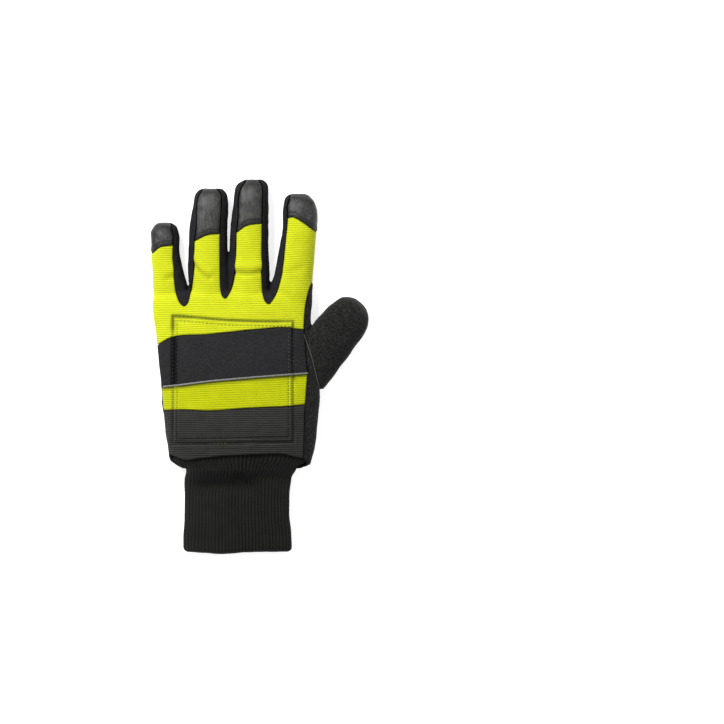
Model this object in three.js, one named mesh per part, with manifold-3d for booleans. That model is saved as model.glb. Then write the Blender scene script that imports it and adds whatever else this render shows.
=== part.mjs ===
// Left-hand chainsaw glove, lying palm down with its back up.
// Millimetres. +X is the thumb side, +Y points from the cuff to the fingertips, +Z is up.
// While it is modelled, Y = 0 is the wrist hem of the back and X = 0 the middle line of the hand.
import * as THREE from "three";
import { mergeVertices } from "three/addons/utils/BufferGeometryUtils.js";
import Module from "manifold-3d";

const wasm = await Module();
wasm.setup();

// Driving dimensions of the hand
const HAND_WIDTH = 120;
const HAND_THICKNESS = 28;
const PALM_LENGTH = 128;
const FINGER_THICKNESS = 20;
const LITTLE_THICKNESS = 17.5;
const LITTLE_REACH = 47.6;
const LITTLE_WIDTH = 21;
const RING_REACH = 73.2;
const RING_WIDTH = 28.5;
const MIDDLE_REACH = 80;
const MIDDLE_WIDTH = 28.5;
const INDEX_REACH = 69.4;
const INDEX_WIDTH = 26.2;
const THUMB_REACH = 68.3;
const THUMB_WIDTH = 34.2;
const THUMB_THICKNESS = 22;
const THUMB_LEAN_DEGREES = 39;
const SHELL_WALL = 2;

// Driving dimensions of the cuff, the pad and the piping
const CUFF_LENGTH = 71.6;
const CUFF_WIDTH = 80;
const CUFF_THICKNESS = 17;
const CUFF_WALL = 2.4;
const CUFF_RIBS = 60;
const CUFF_RIB_DEPTH = 0.7;
const PAD_THICKNESS = 4;
const PAD_RISE = 2.2;
const PIPING_WIDTH = 1.5;
const PIPING_RISE = 0.8;

// Clearance between pieces that are sewn edge to edge, or that lie on one another
const SEWING_GAP = 0.3;

// Turns rows of numbers into records with the given column names.
function table(columns, ...rows) {
  return rows.map((row) => Object.fromEntries(columns.map((name, i) => [name, row[i]])));
}

// Sections of the hand and fingers, as shares: along of the length, centre and width of the width,
// height of the thickness.
const SECTION = ["along", "centre", "width", "height"];

const PALM_SECTIONS = table(
  SECTION,
  [-0.064, 0.028, 0.727, 0.76],
  [-0.041, 0.037, 0.839, 0.84],
  [-0.015, 0.026, 0.877, 0.89],
  [0.029, 0.028, 0.9, 0.93],
  [0.123, 0.029, 0.934, 0.97],
  [0.264, 0.028, 0.963, 1.0],
  [0.357, 0.029, 0.984, 1.0],
  [0.498, 0.017, 0.986, 1.0],
  [0.639, -0.003, 0.975, 0.98],
  [0.732, -0.019, 0.963, 0.95],
  [0.826, -0.025, 0.969, 0.89],
  [0.92, -0.025, 0.975, 0.8],
  [0.967, -0.025, 0.95, 0.7],
  [1.0, -0.025, 0.86, 0.52],
);

const LITTLE_SECTIONS = table(
  SECTION,
  [-0.45, 0.12, 1.1, 0.8],
  [0, 0, 1.23, 0.97],
  [0.19, -0.063, 1.107, 1.0],
  [0.38, -0.134, 1.036, 1.0],
  [0.57, -0.179, 0.98, 1.0],
  [0.76, -0.187, 1.0, 0.96],
  [0.86, -0.2, 0.96, 0.86],
  [0.95, -0.19, 0.79, 0.64],
  [1.0, -0.21, 0.45, 0.34],
);

const RING_SECTIONS = table(
  SECTION,
  [-0.3, 0, 0.95, 0.85],
  [0, 0, 1.11, 1.0],
  [0.12, 0, 1.1, 1.0],
  [0.37, -0.005, 1.0, 1.0],
  [0.62, 0.008, 0.974, 0.98],
  [0.8, 0.06, 0.92, 0.95],
  [0.925, 0.074, 0.84, 0.76],
  [0.98, 0.08, 0.66, 0.52],
  [1.0, 0.09, 0.48, 0.34],
);

const MIDDLE_SECTIONS = table(
  SECTION,
  [-0.27, 0, 0.95, 0.85],
  [0, 0, 1.05, 1.0],
  [0.12, 0.008, 1.05, 1.0],
  [0.34, -0.005, 1.0, 1.0],
  [0.565, 0.008, 0.974, 0.98],
  [0.79, 0.047, 0.895, 0.95],
  [0.9, 0.06, 0.868, 0.82],
  [0.96, 0.087, 0.763, 0.6],
  [1.0, 0.126, 0.47, 0.34],
);

const INDEX_SECTIONS = table(
  SECTION,
  [-0.32, 0.05, 1.0, 0.85],
  [0, -0.014, 1.23, 1.0],
  [0.13, 0.063, 1.1, 1.0],
  [0.39, 0.163, 1.014, 1.0],
  [0.65, 0.25, 0.957, 0.98],
  [0.78, 0.257, 0.97, 0.94],
  [0.91, 0.23, 0.857, 0.78],
  [0.975, 0.2, 0.63, 0.52],
  [1.0, 0.2, 0.38, 0.34],
);

const THUMB_SECTIONS = table(
  SECTION,
  [0, 0, 0.9, 0.9],
  [0.25, 0.0, 1.02, 1.0],
  [0.45, 0.0, 1.02, 1.0],
  [0.7, 0.0, 0.978, 1.0],
  [0.82, 0.01, 0.895, 0.92],
  [0.9, -0.013, 0.776, 0.8],
  [0.955, -0.03, 0.56, 0.6],
  [1.0, -0.07, 0.3, 0.34],
);

// The palm's sections that the cuff is seated in, counted from the hem, from the top of the cuff down
const CUFF_SEAT_ROWS = [3, 2, 0];

// The cuff below the wrist hem; along is measured down from the hem.
const CUFF_SECTIONS = table(
  SECTION,
  [0.22, 0.012, 0.995, 0.9],
  [0.5, 0.004, 0.975, 1.0],
  [0.95, 0.009, 1.015, 1.0],
  [1.0, 0.009, 0.975, 0.84],
);

// Seams across the back, in shares of the hand's width and of the palm's length
const POINT = ["across", "along"];

const KNUCKLE_SEAM = table(
  POINT,
  [-0.75, 0.55],
  [-0.491, 0.662],
  [-0.399, 0.705],
  [-0.178, 0.72],
  [0.116, 0.748],
  [0.291, 0.76],
  [0.414, 0.748],
);

const PIPING_LINE = table(
  POINT,
  [-0.75, 0.39],
  [-0.456, 0.413],
  [-0.353, 0.423],
  [-0.166, 0.445],
  [0.084, 0.466],
  [0.328, 0.484],
  [0.434, 0.491],
);

const LOWER_SEAM = table(
  POINT,
  [-0.75, 0.272],
  [-0.441, 0.277],
  [-0.353, 0.281],
  [-0.166, 0.275],
  [0.084, 0.29],
  [0.303, 0.299],
  [0.423, 0.311],
);

const WRIST_HEM = table(
  POINT,
  [-0.75, 0.05],
  [-0.416, 0.015],
  [-0.326, -0.014],
  [-0.2, -0.002],
  [-0.072, 0.01],
  [0.147, 0.019],
  [0.284, 0.021],
  [0.366, 0.003],
  [0.419, -0.003],
);

// The edge of the back on the index side, from the knuckle seam up to the root of the index finger
const INDEX_SIDE_EDGE = table(
  POINT,
  [0.419, 0.861],
  [0.428, 0.932],
  [0.434, 0.967],
  [0.453, 1.002],
  [0.472, 1.014],
  [0.75, 1.014],
);

// The thumb hole in plan, opening away from the hand
const THUMB_HOLE = table(
  POINT,
  [0.422, 0.738],
  [0.459, 0.762],
  [0.534, 0.92],
  [0.584, 1.037],
  [1.1, 1.037],
  [1.1, 0.3],
  [0.56, 0.34],
  [0.522, 0.404],
  [0.494, 0.495],
  [0.466, 0.6],
  [0.441, 0.668],
);

// Where the pad lies under the back
const PAD_OUTLINE = table(
  POINT,
  [-0.4, 0.085],
  [-0.39, 0.072],
  [-0.1, 0.068],
  [0.35, 0.08],
  [0.363, 0.092],
  [0.363, 0.79],
  [0.35, 0.803],
  [-0.072, 0.81],
  [-0.385, 0.832],
  [-0.403, 0.82],
);

// Lowest point of each strip between two fingers, on the back of the hand
const WEB_LITTLE_RING = { across: -0.324, along: 0.885 };
const WEB_RING_MIDDLE = { across: -0.072, along: 0.93 };
const WEB_MIDDLE_INDEX = { across: 0.197, along: 0.899 };

// Edges of the back panel and the cap on each finger, in shares of the finger's width and reach,
// from the root upwards. The cap line runs from the little side to the thumb side. An edge that runs
// past the finger's own side wraps round it.
const FINGERS = [
  {
    name: "little",
    root: -0.414,
    reach: LITTLE_REACH,
    width: LITTLE_WIDTH,
    thickness: LITTLE_THICKNESS,
    sections: LITTLE_SECTIONS,
    panelLeft: [],
    panelRight: table(POINT, [0.241, -0.216], [0.134, 0.005], [0.1, 0.383]),
    capLine: table(POINT, [-0.95, 0.5], [-0.65, 0.532], [-0.366, 0.619], [0.116, 0.65]),
    capLeft: table(POINT, [-0.95, 1.15]),
    capRight: table(POINT, [0.116, 0.86], [0.03, 1.0], [0.0, 1.15]),
  },
  {
    name: "ring",
    root: -0.177,
    reach: RING_REACH,
    width: RING_WIDTH,
    thickness: FINGER_THICKNESS,
    sections: RING_SECTIONS,
    panelLeft: table(POINT, [-0.479, -0.12], [-0.426, 0.003], [-0.38, 0.19]),
    panelRight: table(POINT, [0.389, -0.12], [0.284, 0.003], [0.3, 0.25]),
    capLine: table(POINT, [-0.374, 0.464], [-0.03, 0.526], [0.321, 0.541]),
    capLeft: table(POINT, [-0.32, 0.6], [-0.31, 0.83], [-0.24, 0.95], [-0.19, 1.08]),
    capRight: table(POINT, [0.34, 0.7], [0.36, 0.95], [0.31, 1.08]),
  },
  {
    name: "middle",
    root: 0.079,
    reach: MIDDLE_REACH,
    width: MIDDLE_WIDTH,
    thickness: FINGER_THICKNESS,
    sections: MIDDLE_SECTIONS,
    panelLeft: table(POINT, [-0.61, -0.11], [-0.453, 0.003], [-0.374, 0.115]),
    panelRight: table(POINT, [0.31, -0.11], [0.31, 0.003], [0.324, 0.34]),
    capLine: table(POINT, [-0.347, 0.504], [-0.058, 0.57], [0.35, 0.59]),
    capLeft: table(POINT, [-0.3, 0.65], [-0.295, 0.81], [-0.216, 0.93], [-0.137, 1.07]),
    capRight: table(POINT, [0.363, 0.81], [0.363, 0.93], [0.337, 1.07]),
  },
  {
    name: "index",
    root: 0.341,
    reach: INDEX_REACH,
    width: INDEX_WIDTH,
    thickness: FINGER_THICKNESS,
    sections: INDEX_SECTIONS,
    panelLeft: table(POINT, [-0.514, -0.126], [-0.371, 0.003], [-0.257, 0.198], [-0.143, 0.587]),
    panelRight: [],
    capLine: table(POINT, [-0.114, 0.738], [0.057, 0.749], [0.706, 0.598], [1.05, 0.52]),
    capLeft: table(POINT, [-0.13, 0.857], [-0.057, 0.955], [0.03, 1.08]),
    capRight: table(POINT, [1.05, 1.08]),
  },
];

const THUMB_BASE = { across: 0.416, along: 0.492 };

// Section shapes
const HAND_SQUARENESS = 2.4;
const FINGER_SQUARENESS = 2.2;
const FLATTENED_SHARE = 0.06; // how much of its thickness each section loses where it rests
const HAND_COLUMNS = 32;
const FINGER_COLUMNS = 18;
const THUMB_COLUMNS = 20;
const HAND_HOLLOW_COLUMNS = 24;
const FINGER_HOLLOW_COLUMNS = 10;

// The seam between the back and the palm side runs round the sides at these shares of the thickness,
// and steps down from the hand to the fingers from this share of the palm's length on.
const HAND_SIDE_SEAM = 0.36;
const FINGER_SIDE_SEAM = 0.42;
const SIDE_SEAM_STEP = 0.8;

// Half the size of the solids that cut the glove into its pieces
const FAR = 400;
const MERGE_DISTANCE = 1e-4;

const handPoint = ({ across, along }) => new THREE.Vector2(across * HAND_WIDTH, along * PALM_LENGTH);

const fingerPoint = (finger, { across, along }) =>
  new THREE.Vector2(
    finger.root * HAND_WIDTH + across * finger.width,
    PALM_LENGTH + along * finger.reach,
  );

// Solids from geometry and back

function solidOf(geometry) {
  geometry.deleteAttribute("normal");
  geometry.deleteAttribute("uv");
  const merged = mergeVertices(geometry, MERGE_DISTANCE);
  return new wasm.Manifold(
    new wasm.Mesh({
      numProp: 3,
      vertProperties: new Float32Array(merged.attributes.position.array),
      triVerts: new Uint32Array(merged.index.array),
    }),
  );
}

function geometryOf(solid) {
  const mesh = solid.getMesh();
  const positions = new Float32Array(mesh.numVert * 3);
  for (let i = 0; i < mesh.numVert; i++) {
    positions.set(mesh.vertProperties.subarray(i * mesh.numProp, i * mesh.numProp + 3), i * 3);
  }
  const geometry = new THREE.BufferGeometry();
  geometry.setAttribute("position", new THREE.BufferAttribute(positions, 3));
  geometry.setIndex(new THREE.BufferAttribute(new Uint32Array(mesh.triVerts), 1));
  geometry.computeVertexNormals();
  return geometry;
}

const joined = (solids) => solids.reduce((all, one) => all.add(one));

const middleOf = (ring) =>
  ring.reduce((sum, point) => sum.add(point), new THREE.Vector3()).divideScalar(ring.length);

// Closed skin through rings of equal count, each ring counterclockwise seen from the far end. Each end
// is a fan about its middle.
function lofted(rings) {
  const columns = rings[0].length;
  const points = [...rings.flat(), middleOf(rings[0]), middleOf(rings.at(-1))];
  const positions = points.flatMap((p) => [p.x, p.y, p.z]);
  const index = [];
  for (let i = 0; i + 1 < rings.length; i++) {
    for (let j = 0; j < columns; j++) {
      const a = i * columns + j;
      const b = i * columns + ((j + 1) % columns);
      index.push(a, b, a + columns, b, b + columns, a + columns);
    }
  }
  const last = (rings.length - 1) * columns;
  const nearMiddle = rings.length * columns;
  const farMiddle = nearMiddle + 1;
  for (let j = 0; j < columns; j++) {
    const next = (j + 1) % columns;
    index.push(nearMiddle, next, j, farMiddle, last + j, last + next);
  }
  const geometry = new THREE.BufferGeometry();
  geometry.setAttribute("position", new THREE.Float32BufferAttribute(positions, 3));
  geometry.setIndex(index);
  return solidOf(geometry);
}

// A superellipse ring about a centre, with its width along the side direction and its height along Z,
// flattened where it would reach below rest.
function sectionRing({ centre, side, width, height, squareness, columns, rest }) {
  const power = 2 / squareness;
  const bulge = (wave, size) => (Math.sign(wave) * Math.abs(wave) ** power * size) / 2;
  return Array.from({ length: columns }, (_, j) => {
    const angle = (2 * Math.PI * j) / columns;
    const point = centre.clone().addScaledVector(side, -bulge(Math.cos(angle), width));
    point.z = Math.max(rest, point.z + bulge(Math.sin(angle), height));
    return point;
  });
}

// Height of a section's middle when it lies flattened: a thin end hangs between its own middle and the
// middle of the full thickness.
function restingMiddle(thickness, heightShare) {
  return thickness * (0.5 - FLATTENED_SHARE) * (0.5 + 0.5 * heightShare);
}

// A tube of the given sections from base along forward, made thicker all round by grow, which is
// negative for the hollow. Its far end moves by grow too.
function tube(form, grow) {
  const { base, forward, reach, width, thickness, squareness } = form;
  const side = new THREE.Vector3(forward.y, -forward.x, 0);
  const hollow = grow < 0;
  return lofted(
    (hollow ? form.hollowSections : form.sections).map((s) => {
      const height = s.height * thickness;
      const centre = base
        .clone()
        .addScaledVector(forward, s.along * (reach + (s.along > 0 ? grow : 0)))
        .addScaledVector(side, s.centre * width);
      centre.z = restingMiddle(thickness, s.height);
      return sectionRing({
        centre,
        side,
        squareness,
        width: s.width * width + 2 * grow,
        height: height + 2 * grow,
        columns: hollow ? form.hollowColumns : form.columns,
        rest: Math.max(0, -grow),
      });
    }),
  );
}

// Plan outlines

// The outline moved outwards by a distance, inwards if negative.
function grown(points, distance) {
  const turn = Math.sign(THREE.ShapeUtils.area(points));
  return points.map((point, i) => {
    const before = points[(i + points.length - 1) % points.length];
    const after = points[(i + 1) % points.length];
    const a = point.clone().sub(before).normalize();
    const b = after.clone().sub(point).normalize();
    const normal = new THREE.Vector2(a.y + b.y, -a.x - b.x).multiplyScalar(turn).normalize();
    const spread = Math.max(0.5, normal.dot(new THREE.Vector2(a.y, -a.x).multiplyScalar(turn)));
    return point.clone().addScaledVector(normal, distance / spread);
  });
}

function prism(points) {
  const geometry = new THREE.ExtrudeGeometry(new THREE.Shape(points), {
    depth: 2 * FAR,
    bevelEnabled: false,
  });
  return solidOf(geometry.translate(0, 0, -FAR));
}

// Everything above the side seam, which steps down from the hand to the fingers
function aboveSideSeam(offset) {
  const handHeight = HAND_SIDE_SEAM * HAND_THICKNESS + offset;
  const fingerHeight = FINGER_SIDE_SEAM * FINGER_THICKNESS + offset;
  const profile = new THREE.Shape([
    new THREE.Vector2(-FAR, handHeight),
    new THREE.Vector2(SIDE_SEAM_STEP * PALM_LENGTH, handHeight),
    new THREE.Vector2(PALM_LENGTH, fingerHeight),
    new THREE.Vector2(FAR, fingerHeight),
    new THREE.Vector2(FAR, FAR),
    new THREE.Vector2(-FAR, FAR),
  ]);
  const geometry = new THREE.ExtrudeGeometry(profile, { depth: 2 * FAR, bevelEnabled: false });
  geometry.translate(0, 0, -FAR);
  geometry.rotateX(Math.PI / 2).rotateZ(Math.PI / 2);
  return solidOf(geometry);
}

// Forms of the hand

const FORWARD = new THREE.Vector3(0, 1, 0);
const THUMB_LEAN = THREE.MathUtils.degToRad(THUMB_LEAN_DEGREES);

// The hollow of the palm reaches past the wrist hem, so that its mouth is open.
const mouthSection = { ...PALM_SECTIONS[0], along: PALM_SECTIONS[0].along - 0.1 };

// A finger's hollow needs only every second section.
const everySecond = (sections) => sections.filter((_, i) => i % 2 === 0 || i === sections.length - 1);

const palmTube = {
  sections: PALM_SECTIONS,
  hollowSections: [mouthSection, ...PALM_SECTIONS],
  base: new THREE.Vector3(),
  forward: FORWARD,
  reach: PALM_LENGTH,
  width: HAND_WIDTH,
  thickness: HAND_THICKNESS,
  squareness: HAND_SQUARENESS,
  columns: HAND_COLUMNS,
  hollowColumns: HAND_HOLLOW_COLUMNS,
};

const fingerTubes = FINGERS.map((finger) => ({
  ...finger,
  hollowSections: everySecond(finger.sections),
  base: new THREE.Vector3(finger.root * HAND_WIDTH, PALM_LENGTH, 0),
  forward: FORWARD,
  squareness: FINGER_SQUARENESS,
  columns: FINGER_COLUMNS,
  hollowColumns: FINGER_HOLLOW_COLUMNS,
}));

const thumbTube = {
  sections: THUMB_SECTIONS,
  hollowSections: everySecond(THUMB_SECTIONS),
  base: new THREE.Vector3(THUMB_BASE.across * HAND_WIDTH, THUMB_BASE.along * PALM_LENGTH, 0),
  forward: new THREE.Vector3(Math.sin(THUMB_LEAN), Math.cos(THUMB_LEAN), 0),
  reach: THUMB_REACH,
  width: THUMB_WIDTH,
  thickness: THUMB_THICKNESS,
  squareness: FINGER_SQUARENESS,
  columns: THUMB_COLUMNS,
  hollowColumns: FINGER_HOLLOW_COLUMNS,
};

// The palm's tube with the pad's rise, inside the pad's outline grown by edge
function overPad(grow, edge) {
  return tube(palmTube, grow)
    .intersect(prism(grown(PAD_OUTLINE.map(handPoint), edge)))
    .intersect(aboveSideSeam(0));
}

const palmForm = (grow) => tube(palmTube, grow).add(overPad(grow + PAD_RISE, grow));

// The whole hand grown by a distance
const handForm = (grow) =>
  joined([palmForm(grow), ...fingerTubes.map((finger) => tube(finger, grow)), tube(thumbTube, grow)]);

const cavity = handForm(-SHELL_WALL);
const shell = handForm(0).subtract(cavity);

// Outlines of the panels of the back

// The back panel runs from the knuckle seam up each finger, from the index finger to the little finger.
function backOutline() {
  const webs = [null, WEB_LITTLE_RING, WEB_RING_MIDDLE, WEB_MIDDLE_INDEX];
  const points = [...KNUCKLE_SEAM, ...INDEX_SIDE_EDGE].map(handPoint);
  for (const [i, finger] of [...FINGERS.entries()].toReversed()) {
    const edge = [...finger.panelRight, ...finger.capLine.toReversed(), ...finger.panelLeft.toReversed()];
    points.push(...edge.map((row) => fingerPoint(finger, row)));
    if (webs[i]) points.push(handPoint(webs[i]));
  }
  return points;
}

function capOutline(finger) {
  const edge = [...finger.capLine, ...finger.capRight, ...finger.capLeft.toReversed()];
  return edge.map((row) => fingerPoint(finger, row));
}

// The zone between the middle lines of two neighbouring fingers, down to their web
function webOutline(finger, next, web) {
  const top = { across: 0.05, along: 1.2 };
  const root = { across: 0, along: -0.05 };
  const bottom = { across: web.across, along: web.along - 0.03 };
  return [
    fingerPoint(finger, top),
    fingerPoint(finger, root),
    handPoint(bottom),
    fingerPoint(next, root),
    fingerPoint(next, top),
  ];
}

const between = (upper, lower) => [...upper, ...lower.toReversed()].map(handPoint);

// A strip of the given width along a line
function stripOutline(line, width) {
  const points = line.map(handPoint);
  const raised = points.map((p) => new THREE.Vector2(p.x, p.y + width / 2));
  const lowered = points.map((p) => new THREE.Vector2(p.x, p.y - width / 2));
  return [...raised, ...lowered.toReversed()];
}

const HALF_GAP = SEWING_GAP / 2;

// The back stops at the wrist hem, while the palm side reaches on to its own hem.
const belowHem = WRIST_HEM.map(({ across }) => ({ across, along: 2 * PALM_SECTIONS[0].along }));

const panelOutlines = {
  back_panel: backOutline(),
  knuckle_band: between(KNUCKLE_SEAM, PIPING_LINE),
  lower_band: between(PIPING_LINE, LOWER_SEAM),
  wrist_panel: between(LOWER_SEAM, WRIST_HEM),
  ...Object.fromEntries(FINGERS.map((finger) => [`cap_${finger.name}`, capOutline(finger)])),
};

const webOutlines = {
  fourchette_little_ring: webOutline(FINGERS[0], FINGERS[1], WEB_LITTLE_RING),
  fourchette_ring_middle: webOutline(FINGERS[1], FINGERS[2], WEB_RING_MIDDLE),
  fourchette_middle_index: webOutline(FINGERS[2], FINGERS[3], WEB_MIDDLE_INDEX),
};

// Pieces

const overSeam = aboveSideSeam(HALF_GAP);
const pipingCut = prism(grown(stripOutline(PIPING_LINE, PIPING_WIDTH), SEWING_GAP));
const thumbHole = THUMB_HOLE.map(handPoint);
const thumbCut = prism(grown(thumbHole, HALF_GAP));

const backPieces = Object.fromEntries(
  Object.entries(panelOutlines).map(([name, outline]) => [
    name,
    shell.intersect(overSeam).intersect(prism(grown(outline, -HALF_GAP))).subtract(pipingCut),
  ]),
);

const panelCuts = joined(Object.values(panelOutlines).map((o) => prism(grown(o, HALF_GAP))));

const fourchettes = Object.fromEntries(
  Object.entries(webOutlines).map(([name, outline]) => [
    name,
    shell.intersect(overSeam).intersect(prism(grown(outline, -HALF_GAP))).subtract(panelCuts),
  ]),
);

const webCuts = joined(Object.values(webOutlines).map((o) => prism(grown(o, HALF_GAP))));
const hemCut = prism(grown(between(WRIST_HEM, belowHem), HALF_GAP));
const backCuts = joined([panelCuts, webCuts, hemCut, pipingCut]).intersect(aboveSideSeam(-HALF_GAP));

const palm = shell.subtract(backCuts).subtract(thumbCut);
const thumb = shell.intersect(prism(grown(thumbHole, -HALF_GAP)));

const reflectivePiping = palmForm(PIPING_RISE)
  .subtract(cavity)
  .intersect(overSeam)
  .intersect(prism(stripOutline(PIPING_LINE, PIPING_WIDTH)));

// The pad hangs just under the panels of the back, inside their rise.
const padTop = PAD_RISE - SHELL_WALL - SEWING_GAP;
const protectionPad = overPad(padTop, -SHELL_WALL - SEWING_GAP).subtract(
  tube(palmTube, padTop - PAD_THICKNESS),
);

// Cuff

// The ring's points moved in by depth at every second column, towards its centre
function ribbed(ring, centre, depth) {
  return ring.map((point, j) => {
    if (j % 2 === 0) return point;
    const inward = centre.clone().sub(point);
    inward.y = 0;
    return point.clone().add(inward.setLength(depth));
  });
}

// A given number of points along the straight sides of a ring
function resampled(ring, count) {
  return Array.from({ length: count }, (_, k) => {
    const place = (k * ring.length) / count;
    const i = Math.floor(place);
    return ring[i].clone().lerp(ring[(i + 1) % ring.length], place - i);
  });
}

// The cuff's sections: it is seated inside the wrist of the shell, and below it has its own size.
const seatInset = SHELL_WALL + SEWING_GAP;
const seatRows = CUFF_SEAT_ROWS.map((i) => PALM_SECTIONS[i]).map((s) => ({
  seated: true,
  x: s.centre * HAND_WIDTH,
  y: s.along * PALM_LENGTH,
  z: restingMiddle(HAND_THICKNESS, s.height),
  width: s.width * HAND_WIDTH - 2 * seatInset,
  height: s.height * HAND_THICKNESS - 2 * seatInset,
}));
const freeRows = CUFF_SECTIONS.map((s) => ({
  seated: false,
  x: s.centre * CUFF_WIDTH,
  y: -s.along * CUFF_LENGTH,
  z: restingMiddle(CUFF_THICKNESS, s.height),
  width: s.width * CUFF_WIDTH,
  height: s.height * CUFF_THICKNESS,
}));
const cuffRows = [...seatRows, ...freeRows].toReversed();

// The ring of a cuff section, inset by a depth. A seated one has the straight sides of the hollow that
// it sits in.
function cuffRing(row, inset, columns, overrun = 0) {
  return sectionRing({
    centre: new THREE.Vector3(row.x, row.y + overrun, row.z),
    side: new THREE.Vector3(1, 0, 0),
    width: row.width - 2 * inset,
    height: row.height - 2 * inset,
    squareness: HAND_SQUARENESS,
    columns,
    rest: (row.seated ? seatInset : 0) + inset,
  });
}

function cuffOutside() {
  const columns = 2 * CUFF_RIBS;
  return lofted(
    cuffRows.map((row) => {
      const ring = row.seated
        ? resampled(cuffRing(row, 0, HAND_HOLLOW_COLUMNS), columns)
        : cuffRing(row, 0, columns);
      return ribbed(ring, new THREE.Vector3(row.x, row.y, row.z), CUFF_RIB_DEPTH);
    }),
  );
}

function cuffHollow() {
  const overrun = (i) => (i === 0 ? -1 : i === cuffRows.length - 1 ? 1 : 0) * CUFF_WALL;
  return lofted(cuffRows.map((row, i) => cuffRing(row, CUFF_WALL, HAND_HOLLOW_COLUMNS, overrun(i))));
}

const cuff = cuffOutside().subtract(cuffHollow());

// Finishes

const finish = (color, roughness) => new THREE.MeshStandardMaterial({ color, roughness, metalness: 0 });
const hiVisKnit = () => finish(0xd7df27, 0.8);
const greyLeather = () => finish(0x58585a, 0.5);
const blackStretch = () => finish(0x232220, 0.85);
const blackSuede = () => finish(0x282827, 0.95);

const pieces = [
  ["palm", palm, blackSuede()],
  ["thumb", thumb, blackSuede()],
  ["back_panel", backPieces.back_panel, hiVisKnit()],
  ["knuckle_band", backPieces.knuckle_band, finish(0x2c2c2e, 0.7)],
  ["reflective_piping", reflectivePiping, finish(0xa8a8a8, 0.4)],
  ["lower_band", backPieces.lower_band, hiVisKnit()],
  ["wrist_panel", backPieces.wrist_panel, finish(0x343436, 0.85)],
  ["protection_pad", protectionPad, finish(0xb8b4a8, 0.95)],
  ...FINGERS.map(({ name }) => [`cap_${name}`, backPieces[`cap_${name}`], greyLeather()]),
  ...Object.entries(fourchettes).map(([name, solid]) => [name, solid, blackStretch()]),
  ["cuff", cuff, finish(0x20201f, 0.9)],
];

const glove = new THREE.Group();
for (const [name, solid, material] of pieces) {
  const mesh = new THREE.Mesh(geometryOf(solid), material);
  mesh.name = name;
  glove.add(mesh);
}

// The origin is the middle of the glove, where it rests.
const box = new THREE.Box3().setFromObject(glove);
const middle = box.getCenter(new THREE.Vector3());
glove.position.set(-middle.x, -middle.y, -box.min.z);

export default glove;
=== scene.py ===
"""Left-hand chainsaw glove, lying palm down with its back up, dressed around its solids.

Metres. +X is the thumb side, +Y points from the cuff to the fingertips, +Z is up.
"""

import math

import bpy
import numpy as np
from mathutils import Matrix, Vector
from mathutils.bvhtree import BVHTree
from numpy.linalg import norm


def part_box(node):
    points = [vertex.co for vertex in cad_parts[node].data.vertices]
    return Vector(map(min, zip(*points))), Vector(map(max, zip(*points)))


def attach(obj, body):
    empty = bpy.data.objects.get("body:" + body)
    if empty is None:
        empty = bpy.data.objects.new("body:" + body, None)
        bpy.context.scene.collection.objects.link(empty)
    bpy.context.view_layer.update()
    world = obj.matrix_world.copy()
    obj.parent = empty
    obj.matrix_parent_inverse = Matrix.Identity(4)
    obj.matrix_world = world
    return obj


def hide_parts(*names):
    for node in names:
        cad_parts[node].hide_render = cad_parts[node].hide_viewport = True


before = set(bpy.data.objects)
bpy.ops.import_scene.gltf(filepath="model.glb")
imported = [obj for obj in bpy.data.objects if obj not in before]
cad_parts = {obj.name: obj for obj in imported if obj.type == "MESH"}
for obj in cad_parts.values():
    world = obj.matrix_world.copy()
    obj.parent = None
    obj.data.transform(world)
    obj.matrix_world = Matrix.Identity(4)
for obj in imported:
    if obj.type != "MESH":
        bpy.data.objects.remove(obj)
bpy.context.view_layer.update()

MM = 0.001

# Sizes of the hand
HAND_WIDTH = 120 * MM
HAND_THICKNESS = 28 * MM
PALM_LENGTH = 128 * MM
FINGER_THICKNESS = 20 * MM
THUMB_THICKNESS = 22 * MM
THUMB_REACH = 68.3 * MM
THUMB_WIDTH = 34.2 * MM
THUMB_LEAN = math.radians(39)
WALL = 2 * MM
SEAM_GAP = 0.24 * MM
THUMB_SEAM_GAP = 0.05 * MM

# Sizes of the cuff, the pad and the piping
CUFF_LENGTH = 71.6 * MM
CUFF_WIDTH = 80 * MM
CUFF_THICKNESS = 17 * MM
CUFF_WALL = 2.4 * MM
CUFF_RIBS = 68
CUFF_RIB_DEPTH = 0.75 * MM
PAD_THICKNESS = 4 * MM
PAD_RISE = 2.1 * MM
PIPING_WIDTH = 1.5 * MM

# Pitch of the ribs of the knitted panels, and their height
RIB_PITCH = 1.65 * MM
RIB_HEIGHT = 0.3 * MM

# Grain of the meshes, and what smoothing takes off the form, which is grown by as much first
FORM_VOXEL = 0.8 * MM
HOLLOW_VOXEL = 1.8 * MM
FORM_SMOOTHING = 13
HOLLOW_SMOOTHING = 2
SMOOTHING_LOSS = 0.4 * MM
RING_STEP = 1.6 * MM
PALM_COLUMNS = 128

# Sections of the hand and fingers, as shares of length, width and thickness:
# along, centre, width, height
PALM_SECTIONS = [
    (-0.064, 0.028, 0.727, 0.76),
    (-0.041, 0.037, 0.839, 0.84),
    (-0.015, 0.026, 0.877, 0.89),
    (0.029, 0.028, 0.9, 0.93),
    (0.123, 0.029, 0.934, 0.97),
    (0.264, 0.028, 0.963, 1.0),
    (0.357, 0.029, 0.984, 1.0),
    (0.498, 0.017, 0.986, 1.0),
    (0.639, -0.003, 0.975, 0.96),
    (0.732, -0.019, 0.963, 0.91),
    (0.826, -0.027, 0.974, 0.84),
    (0.9, -0.029, 0.982, 0.755),
    (0.936, -0.029, 0.972, 0.69),
    (0.957, -0.029, 0.95, 0.58),
    (0.972, -0.025, 0.86, 0.4),
]

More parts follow.
